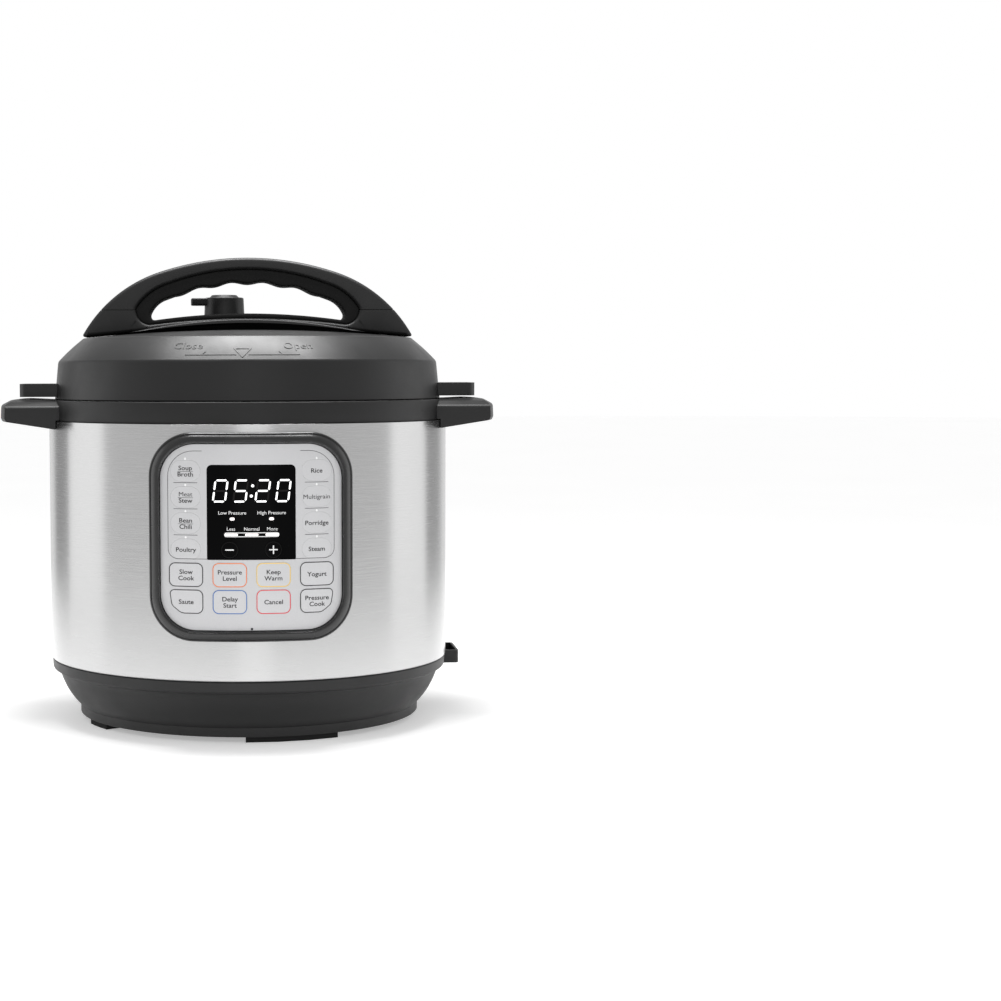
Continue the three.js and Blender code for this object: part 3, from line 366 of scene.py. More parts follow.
def text_bmesh(words, size, x, z, low, high, bold=0.0, spacing=1.0, wide=1.0):
    """Lettering as solid strokes, centred on a point of the flat panel."""
    curve = bpy.data.curves.new("lettering", "FONT")
    curve.body, curve.size, curve.space_character = words, size, spacing
    curve.align_x = curve.align_y = "CENTER"
    # A thickened M closes up, so words that hold one keep the plain weight.
    curve.offset = 0 if "M" in words else bold
    curve.resolution_u = 3
    curve.extrude = (high - low) / 2
    mesh = baked(linked("lettering", curve))
    bm = bmesh.new()
    bm.from_mesh(mesh)
    bpy.data.meshes.remove(mesh)
    bmesh.ops.remove_doubles(bm, verts=bm.verts, dist=1e-4)
    bmesh.ops.scale(bm, vec=(wide, 1, 1), verts=bm.verts)
    bmesh.ops.translate(bm, vec=(x, z, (high + low) / 2), verts=bm.verts)
    return bm


def joined(parts):
    """One mesh from (mesh, finish) pairs, keeping each part's own finish."""
    bm = bmesh.new()
    finishes = []
    for mesh, finish in parts:
        if finish not in finishes:
            finishes.append(finish)
        before = len(bm.faces)
        bm.from_mesh(mesh)
        bm.faces.ensure_lookup_table()
        for face in bm.faces[before:]:
            face.material_index = finishes.index(finish)
        bpy.data.meshes.remove(mesh)
    made = bpy.data.meshes.new("joined")
    bm.to_mesh(made)
    bm.free()
    for finish in finishes:
        made.materials.append(FINISHES[finish])
    return finish_mesh(made)


def place(name, mesh, body, slot, finish=None, *stands_for):
    """Puts a piece into the scene on its body, with its finish."""
    mesh.name = name
    piece = linked(name, mesh)
    if finish:
        mesh.materials.clear()
        mesh.materials.append(FINISHES[finish])
    if stands_for:
        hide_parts(*stands_for)
    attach(piece, body)
    return piece


def carve(mesh, cutters, operation="DIFFERENCE"):
    """Cuts or joins solids, and returns the mesh that comes out."""
    holder = linked("carved", mesh)
    tools = [linked("cutter", cutter) for cutter in cutters]
    for tool in tools:
        step = holder.modifiers.new("carve", "BOOLEAN")
        step.operation, step.solver, step.object = operation, "EXACT", tool
    bpy.context.view_layer.update()
    return finish_mesh(baked(holder, *tools))


def softened(piece, width=0.0006, segments=2, angle=40):
    """A small round on every moulded edge."""
    bevel = piece.modifiers.new("edges", "BEVEL")
    bevel.width = width
    bevel.segments = segments
    bevel.limit_method = "ANGLE"
    bevel.angle_limit = math.radians(angle)
    return piece


# ---- Materials ----
PATTERN_LOW, PATTERN_HIGH = 0.3, 0.7  # The span of a noise pattern that shows.


class Nodes:
    """A material's node tree, written down in the order that its signal flows."""

    def __init__(self, name):
        self.material = bpy.data.materials.new(name)
        self.material.use_nodes = True
        self.tree = self.material.node_tree
        self.shader = self.tree.nodes["Principled BSDF"]

    def add(self, kind, **values):
        node = self.tree.nodes.new(kind)
        for key, value in values.items():
            if hasattr(node, key):
                setattr(node, key, value)
            else:
                node.inputs[key.replace("_", " ")].default_value = value
        return node

    def link(self, source, target):
        self.tree.links.new(source, target)

    def feed(self, **sources):
        """Drives the shader's inputs."""
        for key, source in sources.items():
            self.link(source, self.shader.inputs[key.replace("_", " ")])

    def finished(self, **values):
        """Sets the shader's steady inputs, and gives the material."""
        for key, value in values.items():
            self.shader.inputs[key.replace("_", " ")].default_value = value
        return self.material

    def position(self):
        return self.add("ShaderNodeTexCoord").outputs["Object"]

    def split_position(self):
        split = self.add("ShaderNodeSeparateXYZ")
        self.link(self.position(), split.inputs[0])
        return split.outputs

    def maths(self, operation, *values):
        node = self.add("ShaderNodeMath", operation=operation)
        for socket, value in zip(node.inputs, values):
            if isinstance(value, bpy.types.NodeSocket):
                self.link(value, socket)
            else:
                socket.default_value = value
        return node.outputs[0]

    def noise(self, scale, detail=4.0, roughness=0.5, vector=None):
        node = self.add("ShaderNodeTexNoise", Scale=scale, Detail=detail, Roughness=roughness)
        self.link(vector or self.position(), node.inputs["Vector"])
        return node.outputs["Fac"]

    def ranged(self, value, low, high, start=PATTERN_LOW, end=PATTERN_HIGH):
        node = self.add("ShaderNodeMapRange", From_Min=start, From_Max=end, To_Min=low, To_Max=high)
        self.link(value, node.inputs["Value"])
        return node.outputs["Result"]

    def tinted(self, value, dark, light):
        ramp = self.add("ShaderNodeValToRGB")
        stops = ((PATTERN_LOW, dark), (PATTERN_HIGH, light))
        for stop, (position, colour) in zip(ramp.color_ramp.elements, stops):
            stop.position, stop.color = position, (*colour, 1)
        self.link(value, ramp.inputs["Fac"])
        return ramp.outputs["Color"]

    def skin(self, tone, colour, dark, light, wear, roughness, smoother, rougher):
        """Varies the base colour by the tone pattern, and the roughness by the wear pattern."""
        self.feed(
            Base_Color=self.tinted(tone, shade(colour, dark), shade(colour, light)),
            Roughness=self.ranged(wear, roughness - smoother, roughness + rougher),
        )

    def bump(self, value, strength, distance=0.0001):
        node = self.add("ShaderNodeBump", Strength=strength, Distance=distance)
        self.link(value, node.inputs["Height"])
        self.feed(Normal=node.outputs["Normal"])


def shade(colour, factor):
    return tuple(channel * factor for channel in colour)


def moulded(name, colour, roughness, grain=2600, depth=0.25, shine=0.4):
    """Moulded plastic: a fine spark-eroded grain, faint flow variation and handling wear in its gloss."""
    nodes = Nodes(name)
    nodes.skin(nodes.noise(9, 3), colour, 0.86, 1.14, nodes.noise(38, 5), roughness, 0.05, 0.06)
    nodes.bump(nodes.noise(grain, 2, 0.6), depth)
    return nodes.finished(Specular_IOR_Level=shine)


def brushed(name, colour, roughness=0.3, lines=900, anisotropy=0.55, depth=0.05):
    """Steel brushed round its own axis: long fine scratches that run round the piece."""
    nodes = Nodes(name)
    at = nodes.split_position()
    stretched = nodes.add("ShaderNodeCombineXYZ")
    turn = nodes.maths("ARCTAN2", at["X"], at["Y"])
    nodes.link(nodes.maths("MULTIPLY", turn, 1.4), stretched.inputs["X"])
    nodes.link(nodes.maths("MULTIPLY", at["Z"], lines), stretched.inputs["Y"])
    scratch = nodes.noise(3.2, 6, 0.65, stretched.outputs[0])
    nodes.skin(scratch, colour, 0.95, 1.03, scratch, roughness, 0.05, 0.08)
    nodes.bump(scratch, depth, 0.00005)
    nodes.feed(Tangent=nodes.add("ShaderNodeTangent", direction_type="RADIAL", axis="Z").outputs["Tangent"])
    return nodes.finished(Metallic=1.0, Anisotropic=anisotropy, Anisotropic_Rotation=0.25)


def cast(name, colour, roughness, metallic=1.0, scale=420, depth=0.3):
    """Cast, stamped or rolled metal: an even satin skin with a slight mottle."""
    nodes = Nodes(name)
    nodes.skin(nodes.noise(60, 4), colour, 0.88, 1.08, nodes.noise(160, 4), roughness, 0.06, 0.08)
    nodes.bump(nodes.noise(scale, 3), depth, 0.00008)
    return nodes.finished(Metallic=metallic)


def printed(name, colour, roughness=0.45, metallic=0.0, depth=0.06, shine=0.4):
    """Printed film or ink: a very fine, slightly pearly grain."""
    nodes = Nodes(name)
    pearl = nodes.noise(2400, 2)
    nodes.skin(pearl, colour, 0.96, 1.03, nodes.noise(30, 3), roughness, 0.04, 0.05)
    nodes.bump(pearl, depth, 0.00005)
    return nodes.finished(Metallic=metallic, Specular_IOR_Level=shine)


def rubbery(name, colour, roughness=0.78):
    nodes = Nodes(name)
    dust = nodes.noise(55, 5)
    nodes.skin(dust, colour, 0.8, 1.25, dust, roughness, 0.08, 0.08)
    nodes.bump(nodes.noise(1500, 3), 0.35)
    return nodes.finished(Specular_IOR_Level=0.22)


def lit(name, colour, strength):
    """A lamp behind a diffuser, with a slightly uneven glow."""
    nodes = Nodes(name)
    glow = nodes.tinted(nodes.noise(300, 2), shade(colour, 0.92), colour)
    nodes.feed(Base_Color=glow, Emission_Color=glow)
    return nodes.finished(Emission_Strength=strength, Roughness=0.4)


def clear(name, colour):
    nodes = Nodes(name)
    haze = nodes.noise(45, 4)
    nodes.skin(haze, colour, 0.95, 1, haze, 0.06, 0, 0.1)
    return nodes.finished(Transmission_Weight=0.9, IOR=1.49)


def circuit(name, colour):
    """A lacquered circuit board with its copper showing through as paler tracks."""
    nodes = Nodes(name)
    tones = {key: (*shade(colour, factor), 1) for key, factor in (("Color1", 1), ("Color2", 1.5), ("Mortar", 0.6))}
    brick = nodes.add("ShaderNodeTexBrick", Scale=160, **tones)
    nodes.link(nodes.position(), brick.inputs["Vector"])
    nodes.feed(Base_Color=brick.outputs["Color"], Roughness=nodes.ranged(nodes.noise(120, 3), 0.3, 0.45))
    nodes.bump(brick.outputs["Fac"], 0.2)
    return nodes.material


FINISHES = {}


def make_finishes():
    """Every finish of the cooker, made once and kept by name."""
    tint = colours()
    plastic = tuple(tint.plastic)
    FINISHES.update(
        shell=brushed("brushed shell steel", tuple(tint.steel), 0.22, 900, 0.7),
        pot=brushed("satin pot steel", (0.56, 0.53, 0.51), 0.34, 500, 0.45),
        bright=brushed("bright lid steel", (0.62, 0.62, 0.61), 0.22, 700, 0.35, 0.04),
        small=cast("small steel parts", (0.50, 0.50, 0.49), 0.32, 1.0, 900, 0.12),
        well=cast("well aluminium", (0.52, 0.53, 0.54), 0.42, 1.0, 300, 0.25),
        heating=cast("cast heating plate", (0.47, 0.48, 0.49), 0.55, 1.0, 220, 0.6),
        body=moulded("body plastic", plastic, 0.46),
        lid=moulded("lid plastic", shade(plastic, 1.05), 0.40, 2200, 0.22),
        handle=moulded("handle plastic", shade(plastic, 1.1), 0.42, 2200, 0.25),
        bezel=moulded("bezel plastic", plastic, 0.27, 3000, 0.1, 0.55),
        # The socket rim's pale colour is a painted highlight along the socket's edge.
        rim=moulded("socket rim painted highlight", (0.60, 0.60, 0.59), 0.45),
        grip=rubbery("grip rubber", (0.006, 0.006, 0.006)),
        foot=rubbery("foot rubber", (0.007, 0.007, 0.007)),
        silicone=rubbery("silicone", (0.66, 0.64, 0.60), 0.5),
        film=printed("silver film", tuple(tint.film), 0.42, 0.25),
        # The key film is a touch lighter than the panel's: partly the metal domes under the keys showing through,
        # partly a painted highlight on them.
        key=printed("key film with painted dome highlight", shade(tuple(tint.film), 1.03), 0.40, 0.22),
        glass=printed("display glass", (0.0012, 0.0012, 0.0014), 0.12, 0.0, 0.01, 0.05),
        ink=printed("dark ink", tuple(tint.ink), 0.5),
        pale=printed("pale print", (0.86, 0.86, 0.86), 0.5),
        shadow=printed("unlit segments", (0.012, 0.011, 0.011), 0.3, 0.0, 0.01, 0.05),
        orange=printed("orange ink", (0.86, 0.22, 0.06), 0.45),
        yellow=printed("yellow ink", (0.88, 0.60, 0.14), 0.45),
        blue=printed("blue ink", (0.05, 0.16, 0.45), 0.45),
        red=printed("red ink", (0.72, 0.03, 0.05), 0.45),
        board=circuit("circuit board", (0.012, 0.10, 0.04)),
        brass=cast("inlet blades", (0.66, 0.52, 0.28), 0.3, 1.0, 700, 0.1),
        clear=clear("clear cup plastic", (0.86, 0.90, 0.92)),
        glow=lit("white segments", (1.0, 1.0, 1.0), 0.75),
        lamp=lit("indicator lamps", (1.0, 0.93, 0.92), 0.6),
    )


# ---- Body ----
def build_shell():
    R, T, low = SHELL_R, SHELL_TOP, SHELL_LOW[2]
    profile = [
        (R, low + 0.5),
        *arc((R, T - 0.25), (R - 0.07, T - 0.07), (R - 0.25, T), 4),
        (R - 3.1, T),
        (R - 3.1, T - 0.8),
        *arc((R - 2.2, T - 0.9), (R - 1.2, T - 1.5), (R - 0.8, T - 3.1), 6),
        (R - 0.8, low),
        (R - 0.4, low),
    ]
    place("shell_sheet", turned(profile), "base", "shell_steel", "shell", "outer_shell")
    seam = slab(box_outline(R - 0.2, 0, 0.7, 5, 0.2, 2), low + 2, T - 4)
    seam.transform(Matrix.Rotation(math.radians(62), 4, "Z"))
    place("shell_seam", seam, "base", "shell_steel", "small")


def collar_mesh():
    floor = node_box("lid_plate")[0][2] - 3
    inside = SHELL_R - 3.6
    well = node_box("outer_pot")[1][0] - 13.3
    corners = [
        (well + 1.5, floor - 2.5, 0),
        (inside, floor - 2.5, 0),
        (inside, COLLAR_LOW, 0),
        (COLLAR_R, COLLAR_LOW, 0.4),
        (COLLAR_R, COLLAR_TOP, 1.1),
        (COLLAR_IN, COLLAR_TOP, 0.8),
        (COLLAR_IN, floor, 1.5),
        (well + 3.3, floor, 0.8),
        (well + 3.3, floor + 4, 0.6),
        (well + 1.5, floor + 4, 0.4),
    ]
    return turned(filleted(corners, 4))


HALF_DEPTH = 47


def side_handle_mesh():
    """Both side handles: a turned section kept within their width, hollow underneath, with a slot for a lid fin."""
    C, reach, T = COLLAR_R, HANDLE_REACH, COLLAR_TOP
    clear_of_shell = SHELL_R + 0.4
    section = filleted(
        [
            (C - 1.5, COLLAR_LOW + 0.4, 0),
            (clear_of_shell, COLLAR_LOW + 0.4, 0),
            (clear_of_shell, T - 19.4, 0.6),
            (reach - 1, T - 14.2, 1.2),
            (reach, T - 12, 1.5),
            (reach - 0.4, T - 3.4, 3),
            (reach - 7, T, 4),
            (reach - 13.2, T + 0.9, 5),
            (C - 1.5, T - 0.2, 0),
        ],
        6,
    )
    whole = turned(section)
    D = HALF_DEPTH
    across = filleted(
        [(-D, T - 25, 0), (D, T - 25, 0), (D, T - 4.4, 3), (D - 6.5, T - 1, 4), (D - 15, T + 1.25, 8),
         (15 - D, T + 1.25, 8), (6.5 - D, T - 1, 4), (-D, T - 4.4, 3)],
        6,
    )
    kept = carve(whole, [slab(across, -reach - 9, reach + 9, "X")], "INTERSECT")
    pocket = turned(
        [(clear_of_shell + 4, T - 30), (clear_of_shell + 4, T - 4), (reach - 14, T - 3), (reach - 4.5, T - 6.5),
         (reach - 4.5, T - 30)],
    )
    inner = D - 4
    width = slab(box_outline(0, T - 20, 2 * inner, 40, 3), -reach - 9, reach + 9, "X")
    pocket = carve(pocket, [width], "INTERSECT")
    slots = [slab(box_outline(side * (reach - 22), 0, 10, 56, 4, 6), T - 30, T + 10) for side in (1, -1)]
    return carve(kept, [pocket, *slots])


def rail_mesh():
    """The T-shaped rail behind the collar."""
    back, front, root = SHELL_R + 12, SHELL_R + 0.6, COLLAR_R - 1

    def block(start, width, radius, steps, low, high):
        return slab(box_outline(0, (start + back) / 2, width, back - start, radius, steps), low, high)

    neck = block(front, 20, 1, 3, RAIL_Z + 1, COLLAR_LOW + 0.8)
    flange = block(front, 34, 1.5, 3, RAIL_Z - 1.5, RAIL_Z + 1.5)
    return carve(block(root, 34, 2.5, 4, COLLAR_LOW + 0.4, COLLAR_TOP - 5), [neck, flange], "UNION")


def build_collar():
    place("collar_ring", collar_mesh(), "base", "body_plastic", "body", "top_ring")
    handles = place("side_handles", side_handle_mesh(), "base", "body_plastic", "body", "top_ring")
    softened(handles, sizes().edge_rounding * 0.5, 3, 50)
    softened(place("collector_rail", rail_mesh(), "base", "body_plastic", "body", "top_ring"), 0.0004)


SCREW_CIRCLE = 96


def build_base():
    R, top = SHELL_R, BASE_TOP
    ring_r = R - 19.7
    floor = node_box("base_housing")[0][2]
    bowl = arc((R - 6.2, 31), (R - 11.2, 20.2), (ring_r, 9.6), 14)
    profile = [
        (ring_r - 2.5, floor),
        (ring_r - 0.4, floor),
        (ring_r, floor + 0.4),
        *reversed(bowl),
        *arc((R - 5.4, 32.6), (R - 4.6, 33.6), (R - 3.2, 34.4), 4),
        *arc((R - 2.0, 35), (R - 1.2, 35.7), (R - 0.9, 36.8), 4),
        (R - 0.6, top - 0.5),
        (R - 1.0, top),
        (R - 1.6, top),
        (R - 1.6, top + 4.7),
        (R - 3.8, top + 4.7),
        (R - 3.8, 38),
        (R - 8.9, 32.4),
        (ring_r - 2.5, 11),
    ]
    place("base_tub", turned(profile), "base", "body_plastic", "body", "base_housing")
    for azimuth in (-58, 122, 176, 240):
        angle = math.radians(azimuth)
        x, y = SCREW_CIRCLE * math.sin(angle), -SCREW_CIRCLE * math.cos(angle)
        head = turned(screw_profile(floor - 0.1), 24, (x, y))
        cross = [slab(box_outline(x, y, *arm, 0), floor - 1.6, floor - 0.3) for arm in ((4.4, 0.9), (0.9, 4.4))]
        place(f"bottom_screw_{azimuth % 360}", carve(head, cross), "base", "small_steel", "small")


def screw_profile(z):
    return [(0, z), (3.2, z), (3.2, z - 0.5), *arc((3.0, z - 0.9), (1.8, z - 1.2), (0, z - 1.3), 5)]


KEY_PILL = (18.8, 13.2, 6.6)  # Width, height and corner radius of a key in the side columns.


def key_outline(node, grow=0.0):
    """A key's outline on the flat panel; the bottom row's outer keys follow the panel's corners."""
    low, high = node_box(node)
    cx, _, cz = centre_of(node)
    w, h = (high[0] - low[0]) / 2 + grow, (high[2] - low[2]) / 2 + grow
    if node in UPPER_KEYS:
        width, height, radius = KEY_PILL
        return box_outline(cx, cz, width + 2 * grow, height + 2 * grow, radius + grow, 7)
    if node in ("key_minus", "key_plus"):
        return round_outline(cx, cz, h)
    side = {"key_saute": -1, "key_pressure_cook": 1}.get(node)
    if side is None:
        return box_outline(cx, cz, 2 * w, 2 * h, 4 + grow, 7)
    corners = [(-w, h, 3.0), (w, h, 4), (w, -h, 4), (-w * 0.28, -h, 6), (-w * 0.86, -h * 0.35, 5)]
    return filleted([(cx - side * x, cz + z, r + grow) for x, z, r in corners], 7)


def panel_outline(grow=0.0):
    cz = (OVERLAY_LOW[2] + OVERLAY_HIGH[2]) / 2
    width = OVERLAY_HIGH[0] - OVERLAY_LOW[0] + 2 * grow
    height = OVERLAY_HIGH[2] - OVERLAY_LOW[2] + 2 * grow
    return tidy_outline(box_outline(0, cz, width, height, 22 + grow * 0.8, 16))


def window_outline(grow=0.0):
    x0, z0 = WINDOW_LOW[0] - grow, WINDOW_LOW[2] - grow
    x1, z1 = WINDOW_HIGH[0] + grow, WINDOW_HIGH[2] + grow
    return filleted([(x0, z0, 0.8), (x1, z0, 0.8), (x1, z1, 3.2), (x0, z1, 3.2)], 6)


def build_panel():
    face = OVERLAY_R + 3
    section = [
        (7.3, SHELL_R + 0.4), (7.3, face - 3.4), (7.15, face - 2.7), (6.8, face - 2.3), (6.35, face - 2.25),
        (6.1, face - 2.45), (5.85, face - 2.3), (5.2, face - 1.5), (4.2, face - 0.7), (3.2, face - 0.2),
        (2.4, face), (1.7, face - 0.1), (1.25, face - 0.5), (0.9, face - 1.3), (0.6, face - 2.3),
        (0.35, face - 2.8), (0.35, FILM_BACK), (5.2, OVERLAY_R - 1.5), (5.3, SHELL_R + 0.4),
    ]
    bezel = swept_frame(panel_outline, section, 28)
    place("bezel_ring", bezel, "base", "bezel_plastic", "bezel", "panel_bezel")
    holes = [window_outline(0.12), *(key_outline(name, 0.06) for name in (*UPPER_KEYS, *LOWER_KEYS))]
    film = bent_slab(panel_outline(), FILM_BACK, OVERLAY_R, holes)
    place("overlay_film", film, "base", "overlay_film", "film", "panel_overlay")
    holes = [key_outline(name, 0.15) for name in ("key_minus", "key_plus")]
    glass = bent_slab(window_outline(), FILM_BACK, GLASS_R, holes)
    place("window_glass", glass, "base", "display_glass", "glass", "display_window")


def ink_on(face):
    """Where ink printed on a face starts and ends; it starts just above, so the two never share a surface."""
    relief = sizes().print_relief / UNIT
    return face + relief / 2, face + relief * 1.5


def ring_print(key, width, low, high):
    """A printed line that follows a key just inside its edge."""
    return bent_slab(key_outline(key, -0.15), low, high, [key_outline(key, -0.15 - width)])


def lettering(lines, x, z, size, low, high, finish, gap=0, **style):
    """Lines of lettering, wrapped onto the panel."""
    top = z + gap * (len(lines) - 1) / 2
    return [
        (wrap(text_bmesh(words, size, x, top - i * gap, low, high, **style)), finish) for i, words in enumerate(lines)
    ]


KEY_TEXT = 3.95
KEY_LINE_COLOURS = {
    "key_pressure_level": "orange", "key_keep_warm": "yellow", "key_delay_start": "blue", "key_cancel": "red",
}


def build_cap(key, face, slot, finish):
    """A key's cap; gives where the ink on it starts and ends."""
    place(key + "_cap", bent_slab(key_outline(key), CAP_BACK, face), key, slot, finish, key)
    return ink_on(face)


def build_keys():
    for key, words in (UPPER_KEYS | LOWER_KEYS).items():
        x, _, z = centre_of(key)
        upper = key in UPPER_KEYS
        ink = build_cap(key, OVERLAY_R + (0.01 if upper else 0.12), "key_film", "key")
        parts = lettering(words, x, z - 0.3, KEY_TEXT, *ink, "ink", KEY_TEXT, bold=0.05, wide=1.1)
        if upper and len(words) == 2:
            parts.append((bent_slab(box_outline(x, z - 0.35, 9.6, 0.24, 0), *ink), "ink"))
        if not upper:
            parts.append((ring_print(key, 0.52, *ink), KEY_LINE_COLOURS.get(key, "ink")))
        place(key + "_print", joined(parts), key, "key_film")
    for key, bars in (("key_minus", [(5.4, 0.75)]), ("key_plus", [(5.4, 0.75), (0.75, 5.4)])):
        x, _, z = centre_of(key)
        low, high = build_cap(key, OVERLAY_R + 0.02, "display_glass", "glass")
        parts = [(bent_slab(box_outline(x, z, *bar, 0.1, 2), low, high), "pale") for bar in bars]
        parts.append((ring_print(key, 0.3, low, (low + high) / 2), "shadow"))
        place(key + "_print", joined(parts), key, "display_glass")


def build_panel_print():
    """The fine lines and small lamps printed on the film."""
    ink = ink_on(OVERLAY_R)
    parts = []
    low, high = WINDOW_LOW[2] + 0.4, WINDOW_HIGH[2] + 8.7
    edge, gap = 52.2, 30.8
    for side in (-1, 1):
        corners = [*arc_corner(side * edge, high, 16, side, 1), *arc_corner(side * edge, low, 6, side, -1)]
        path = [(side * gap, high), *corners, (side * WINDOW_HIGH[0], low)]
        parts.append((wrap(stroke(path, 0.3, *ink)), "ink"))
        for key in UPPER_KEYS:
            x, _, z = centre_of(key)
            if node_box(key)[0][0] * side <= 0:
                continue
            if key not in ("key_poultry", "key_steam"):
                parts.append((bent_slab(box_outline(x, z - 7.35, 15, 0.3, 0), *ink), "ink"))
            lamp = filleted([(x - 1, z + 6.9, 0.9), (x + 1, z + 6.9, 0.9), (x, z + 9.2, 0.5)])
            parts.append((bent_slab(lamp, *ink), "pale"))
    parts.append((bent_slab(round_outline(0, OVERLAY_LOW[2] + 0.9, 0.8, 16), *ink), "ink"))
    place("panel_print", joined(parts), "base", "overlay_film")


def arc_corner(x, z, radius, side, up):
    """The points of a rounded corner at (x, z) between a level line and an upright one."""
    k = radius * (1 - math.sqrt(0.5))
    points = arc((x - side * radius, z), (x - side * k, z - up * k), (x, z - up * radius), 10)
    return points if up > 0 else points[::-1]


def stroke(path, width, low, high):
    """A line of even width along a path."""
    left, right = [], []
    for i, point in enumerate(path):
        here = Vector(point)
        before = Vector(path[max(i - 1, 0)])
        after = Vector(path[min(i + 1, len(path) - 1)])
        along = (after - before).normalized()
        across = Vector((-along.y, along.x)) * width / 2
        left.append(tuple(here + across))
        right.append(tuple(here - across))
    return slab_bmesh([*left, *reversed(right)], low, high)


SEGMENTS = {"0": "abcdef", "2": "abged", "5": "afgcd"}


def digit_segments(character, x, z, width, height, low, high, lean=0.13, thick=0.72):
    """Lit and unlit strokes of one seven-segment digit."""
    w, h = width / 2, height / 2
    spans = {
        "a": ((-w, h), (w, h)), "g": ((-w, 0), (w, 0)), "d": ((-w, -h), (w, -h)),
        "f": ((-w, 0), (-w, h)), "b": ((w, 0), (w, h)), "e": ((-w, -h), (-w, 0)), "c": ((w, -h), (w, 0)),
    }
    made = []
    for letter, ((ax, az), (bx, bz)) in spans.items():
        start, half = thick * 0.72, thick * 0.8
        end = bx - ax + bz - az - start
        inner, outer = start + thick * 0.75, end - thick * 0.75
        shape = [(start, 0), (inner, half), (outer, half), (end, 0), (outer, -half), (inner, -half)]
        if ax == bx:
            shape = [(v, u) for u, v in shape]
        placed = [(x + ax + u + lean * (az + v), z + az + v) for u, v in shape]
        made.append((bent_slab(placed, low, high), "glow" if letter in SEGMENTS[character] else "shadow"))
    return made


def build_display():
    low, high = ink_on(GLASS_R)
    top = WINDOW_HIGH[2]
    digits_z, lamp_z, bar_z = top - 16.2, top - 33.7, top - 43.6
    parts = []
    for character, x in zip("0520", (-19.3, -6.6, 7.2, 20.1)):
        parts += digit_segments(character, x, digits_z, 7.6, 13.2, low, high)
    for x, z in ((0.9, 3.2), (0.0, -3.2)):
        parts.append((bent_slab(round_outline(x, digits_z + z, 0.95, 16), low, high), "glow"))
    for x, words in ((-12, "Low Pressure"), (12.6, "High Pressure")):
        parts += lettering((words,), x, lamp_z + 3.7, 3.0, low, high, "pale", bold=0.01, wide=1.06)
        parts.append((bent_slab(box_outline(x, lamp_z, 3.1, 1.8, 0.9, 5), low, high), "lamp"))
    for x, words in ((-12.8, "Less"), (0.2, "Normal"), (13, "More")):
        parts += lettering((words,), x, bar_z + 3.5, 3.0, low, high, "pale", bold=0.01, wide=1.05)
    hole = box_outline(0.2, bar_z, 33.4, 1.9, 0.9, 6)
    parts.append((bent_slab(box_outline(0.2, bar_z, 34.4, 2.9, 1.4, 6), low, high, [hole]), "pale"))
    for x in (-12.6, 0.2, 12.9):
        parts.append((bent_slab(box_outline(x, bar_z, 8.2, 1.5, 0.5, 3), low, high), "lamp"))
    place("display_print", joined(parts), "base", "display_glass")


# ---- Lid ----
def shoulder_line():
    """The lid's sloped shoulder, from its foot up."""
    R, S = LID_R, SHOULDER_Z
    return arc((R - 3.4, S + 2.1), (R - 10.1, S + 8.8), (CONE_TOP_R + 1.9, CONE_TOP_Z - 1.4), 14)


def lid_profile():
    R, S, K, Z = LID_R, SHOULDER_Z, CONE_TOP_R, CONE_TOP_Z
    rise = LID_TOP - Z
    return [
        (R - 0.4, LID_LOW),
        (R, LID_LOW + 0.6),
        (R - 2.25, S - 0.5),
        *arc((R - 2.4, S + 0.3), (R - 2.65, S + 1.0), (R - 3.2, S + 1.9), 4),
        *shoulder_line(),
        *arc((K + 1.2, Z - 0.8), (K + 0.3, Z - 0.15), (K - 0.8, Z + 0.05), 4),
        *arc((K - 1.2, Z + 0.1), (K / 2, Z + rise * 0.76), (0, LID_TOP), 16),
        *arc((0, LID_TOP - 2.5), (K / 2, Z + rise * 0.7 - 2.5), (K - 1, Z - 2.5), 6),
        (R - 6, S - 1),
        (R - 4.3, S - 4),
        (R - 1.9, LID_LOW + 2),
        (R - 1.9, LID_LOW),
    ]


def shoulder_point(u, v, lift):
    """A point on the lid's sloped shoulder: u runs round, v runs up the slope from its foot, lift stands off it."""
    line = shoulder_line()
    left = v
    for (r0, z0), (r1, z1) in zip(line, line[1:]):
        length = math.dist((r0, z0), (r1, z1))
        if left <= length:
            share = left / length
            break
        left -= length
    r, z = r0 + (r1 - r0) * share, z0 + (z1 - z0) * share
    nx, nz = (z1 - z0) / length, (r0 - r1) / length
    angle = u / (LID_R - 10)
    r += nx * lift
    return r * math.sin(angle), -r * math.cos(angle), z + nz * lift


def drape_on_shoulder(bm):
    cut_strips(bm, -24, 25)
    for vert in bm.verts:
        vert.co = shoulder_point(*vert.co)
    return mesh_from(bm), "lid"


def build_lid():
    R, low = LID_R, LID_LOW + 1.9
    corners = [(R - 3.5, 26, 0), (R + 19.5, 26, 6), (R + 22.7, 21, 5)]
    corners = [(x, -y, r) for x, y, r in corners] + corners[::-1]
    fins = [slab(filleted([(side * x, y, r) for x, y, r in corners], 6), low, low + 8.9) for side in (-1, 1)]
    inside = turned([(0, low - 5), (R - 2.2, low - 5), (R - 2.2, low + 12), (0, low + 12)])
    fins = carve(joined([(fin, "lid") for fin in fins]), [inside])
    holes = [
        turned([(0, 240), (radius, 240), (radius, 280), (0, 280)], steps, centre)
        for radius, steps, centre in ((8, 48, (VALVE_X, VALVE_Y)), (5.5, 40, FLOAT_PLACE))
    ]
    cover = carve(carve(turned(lid_profile()), [fins], "UNION"), holes)
    softened(place("lid_cover", cover, "lid", "lid_plastic", "lid", "lid_shell"), 0.0008, 3, 50)


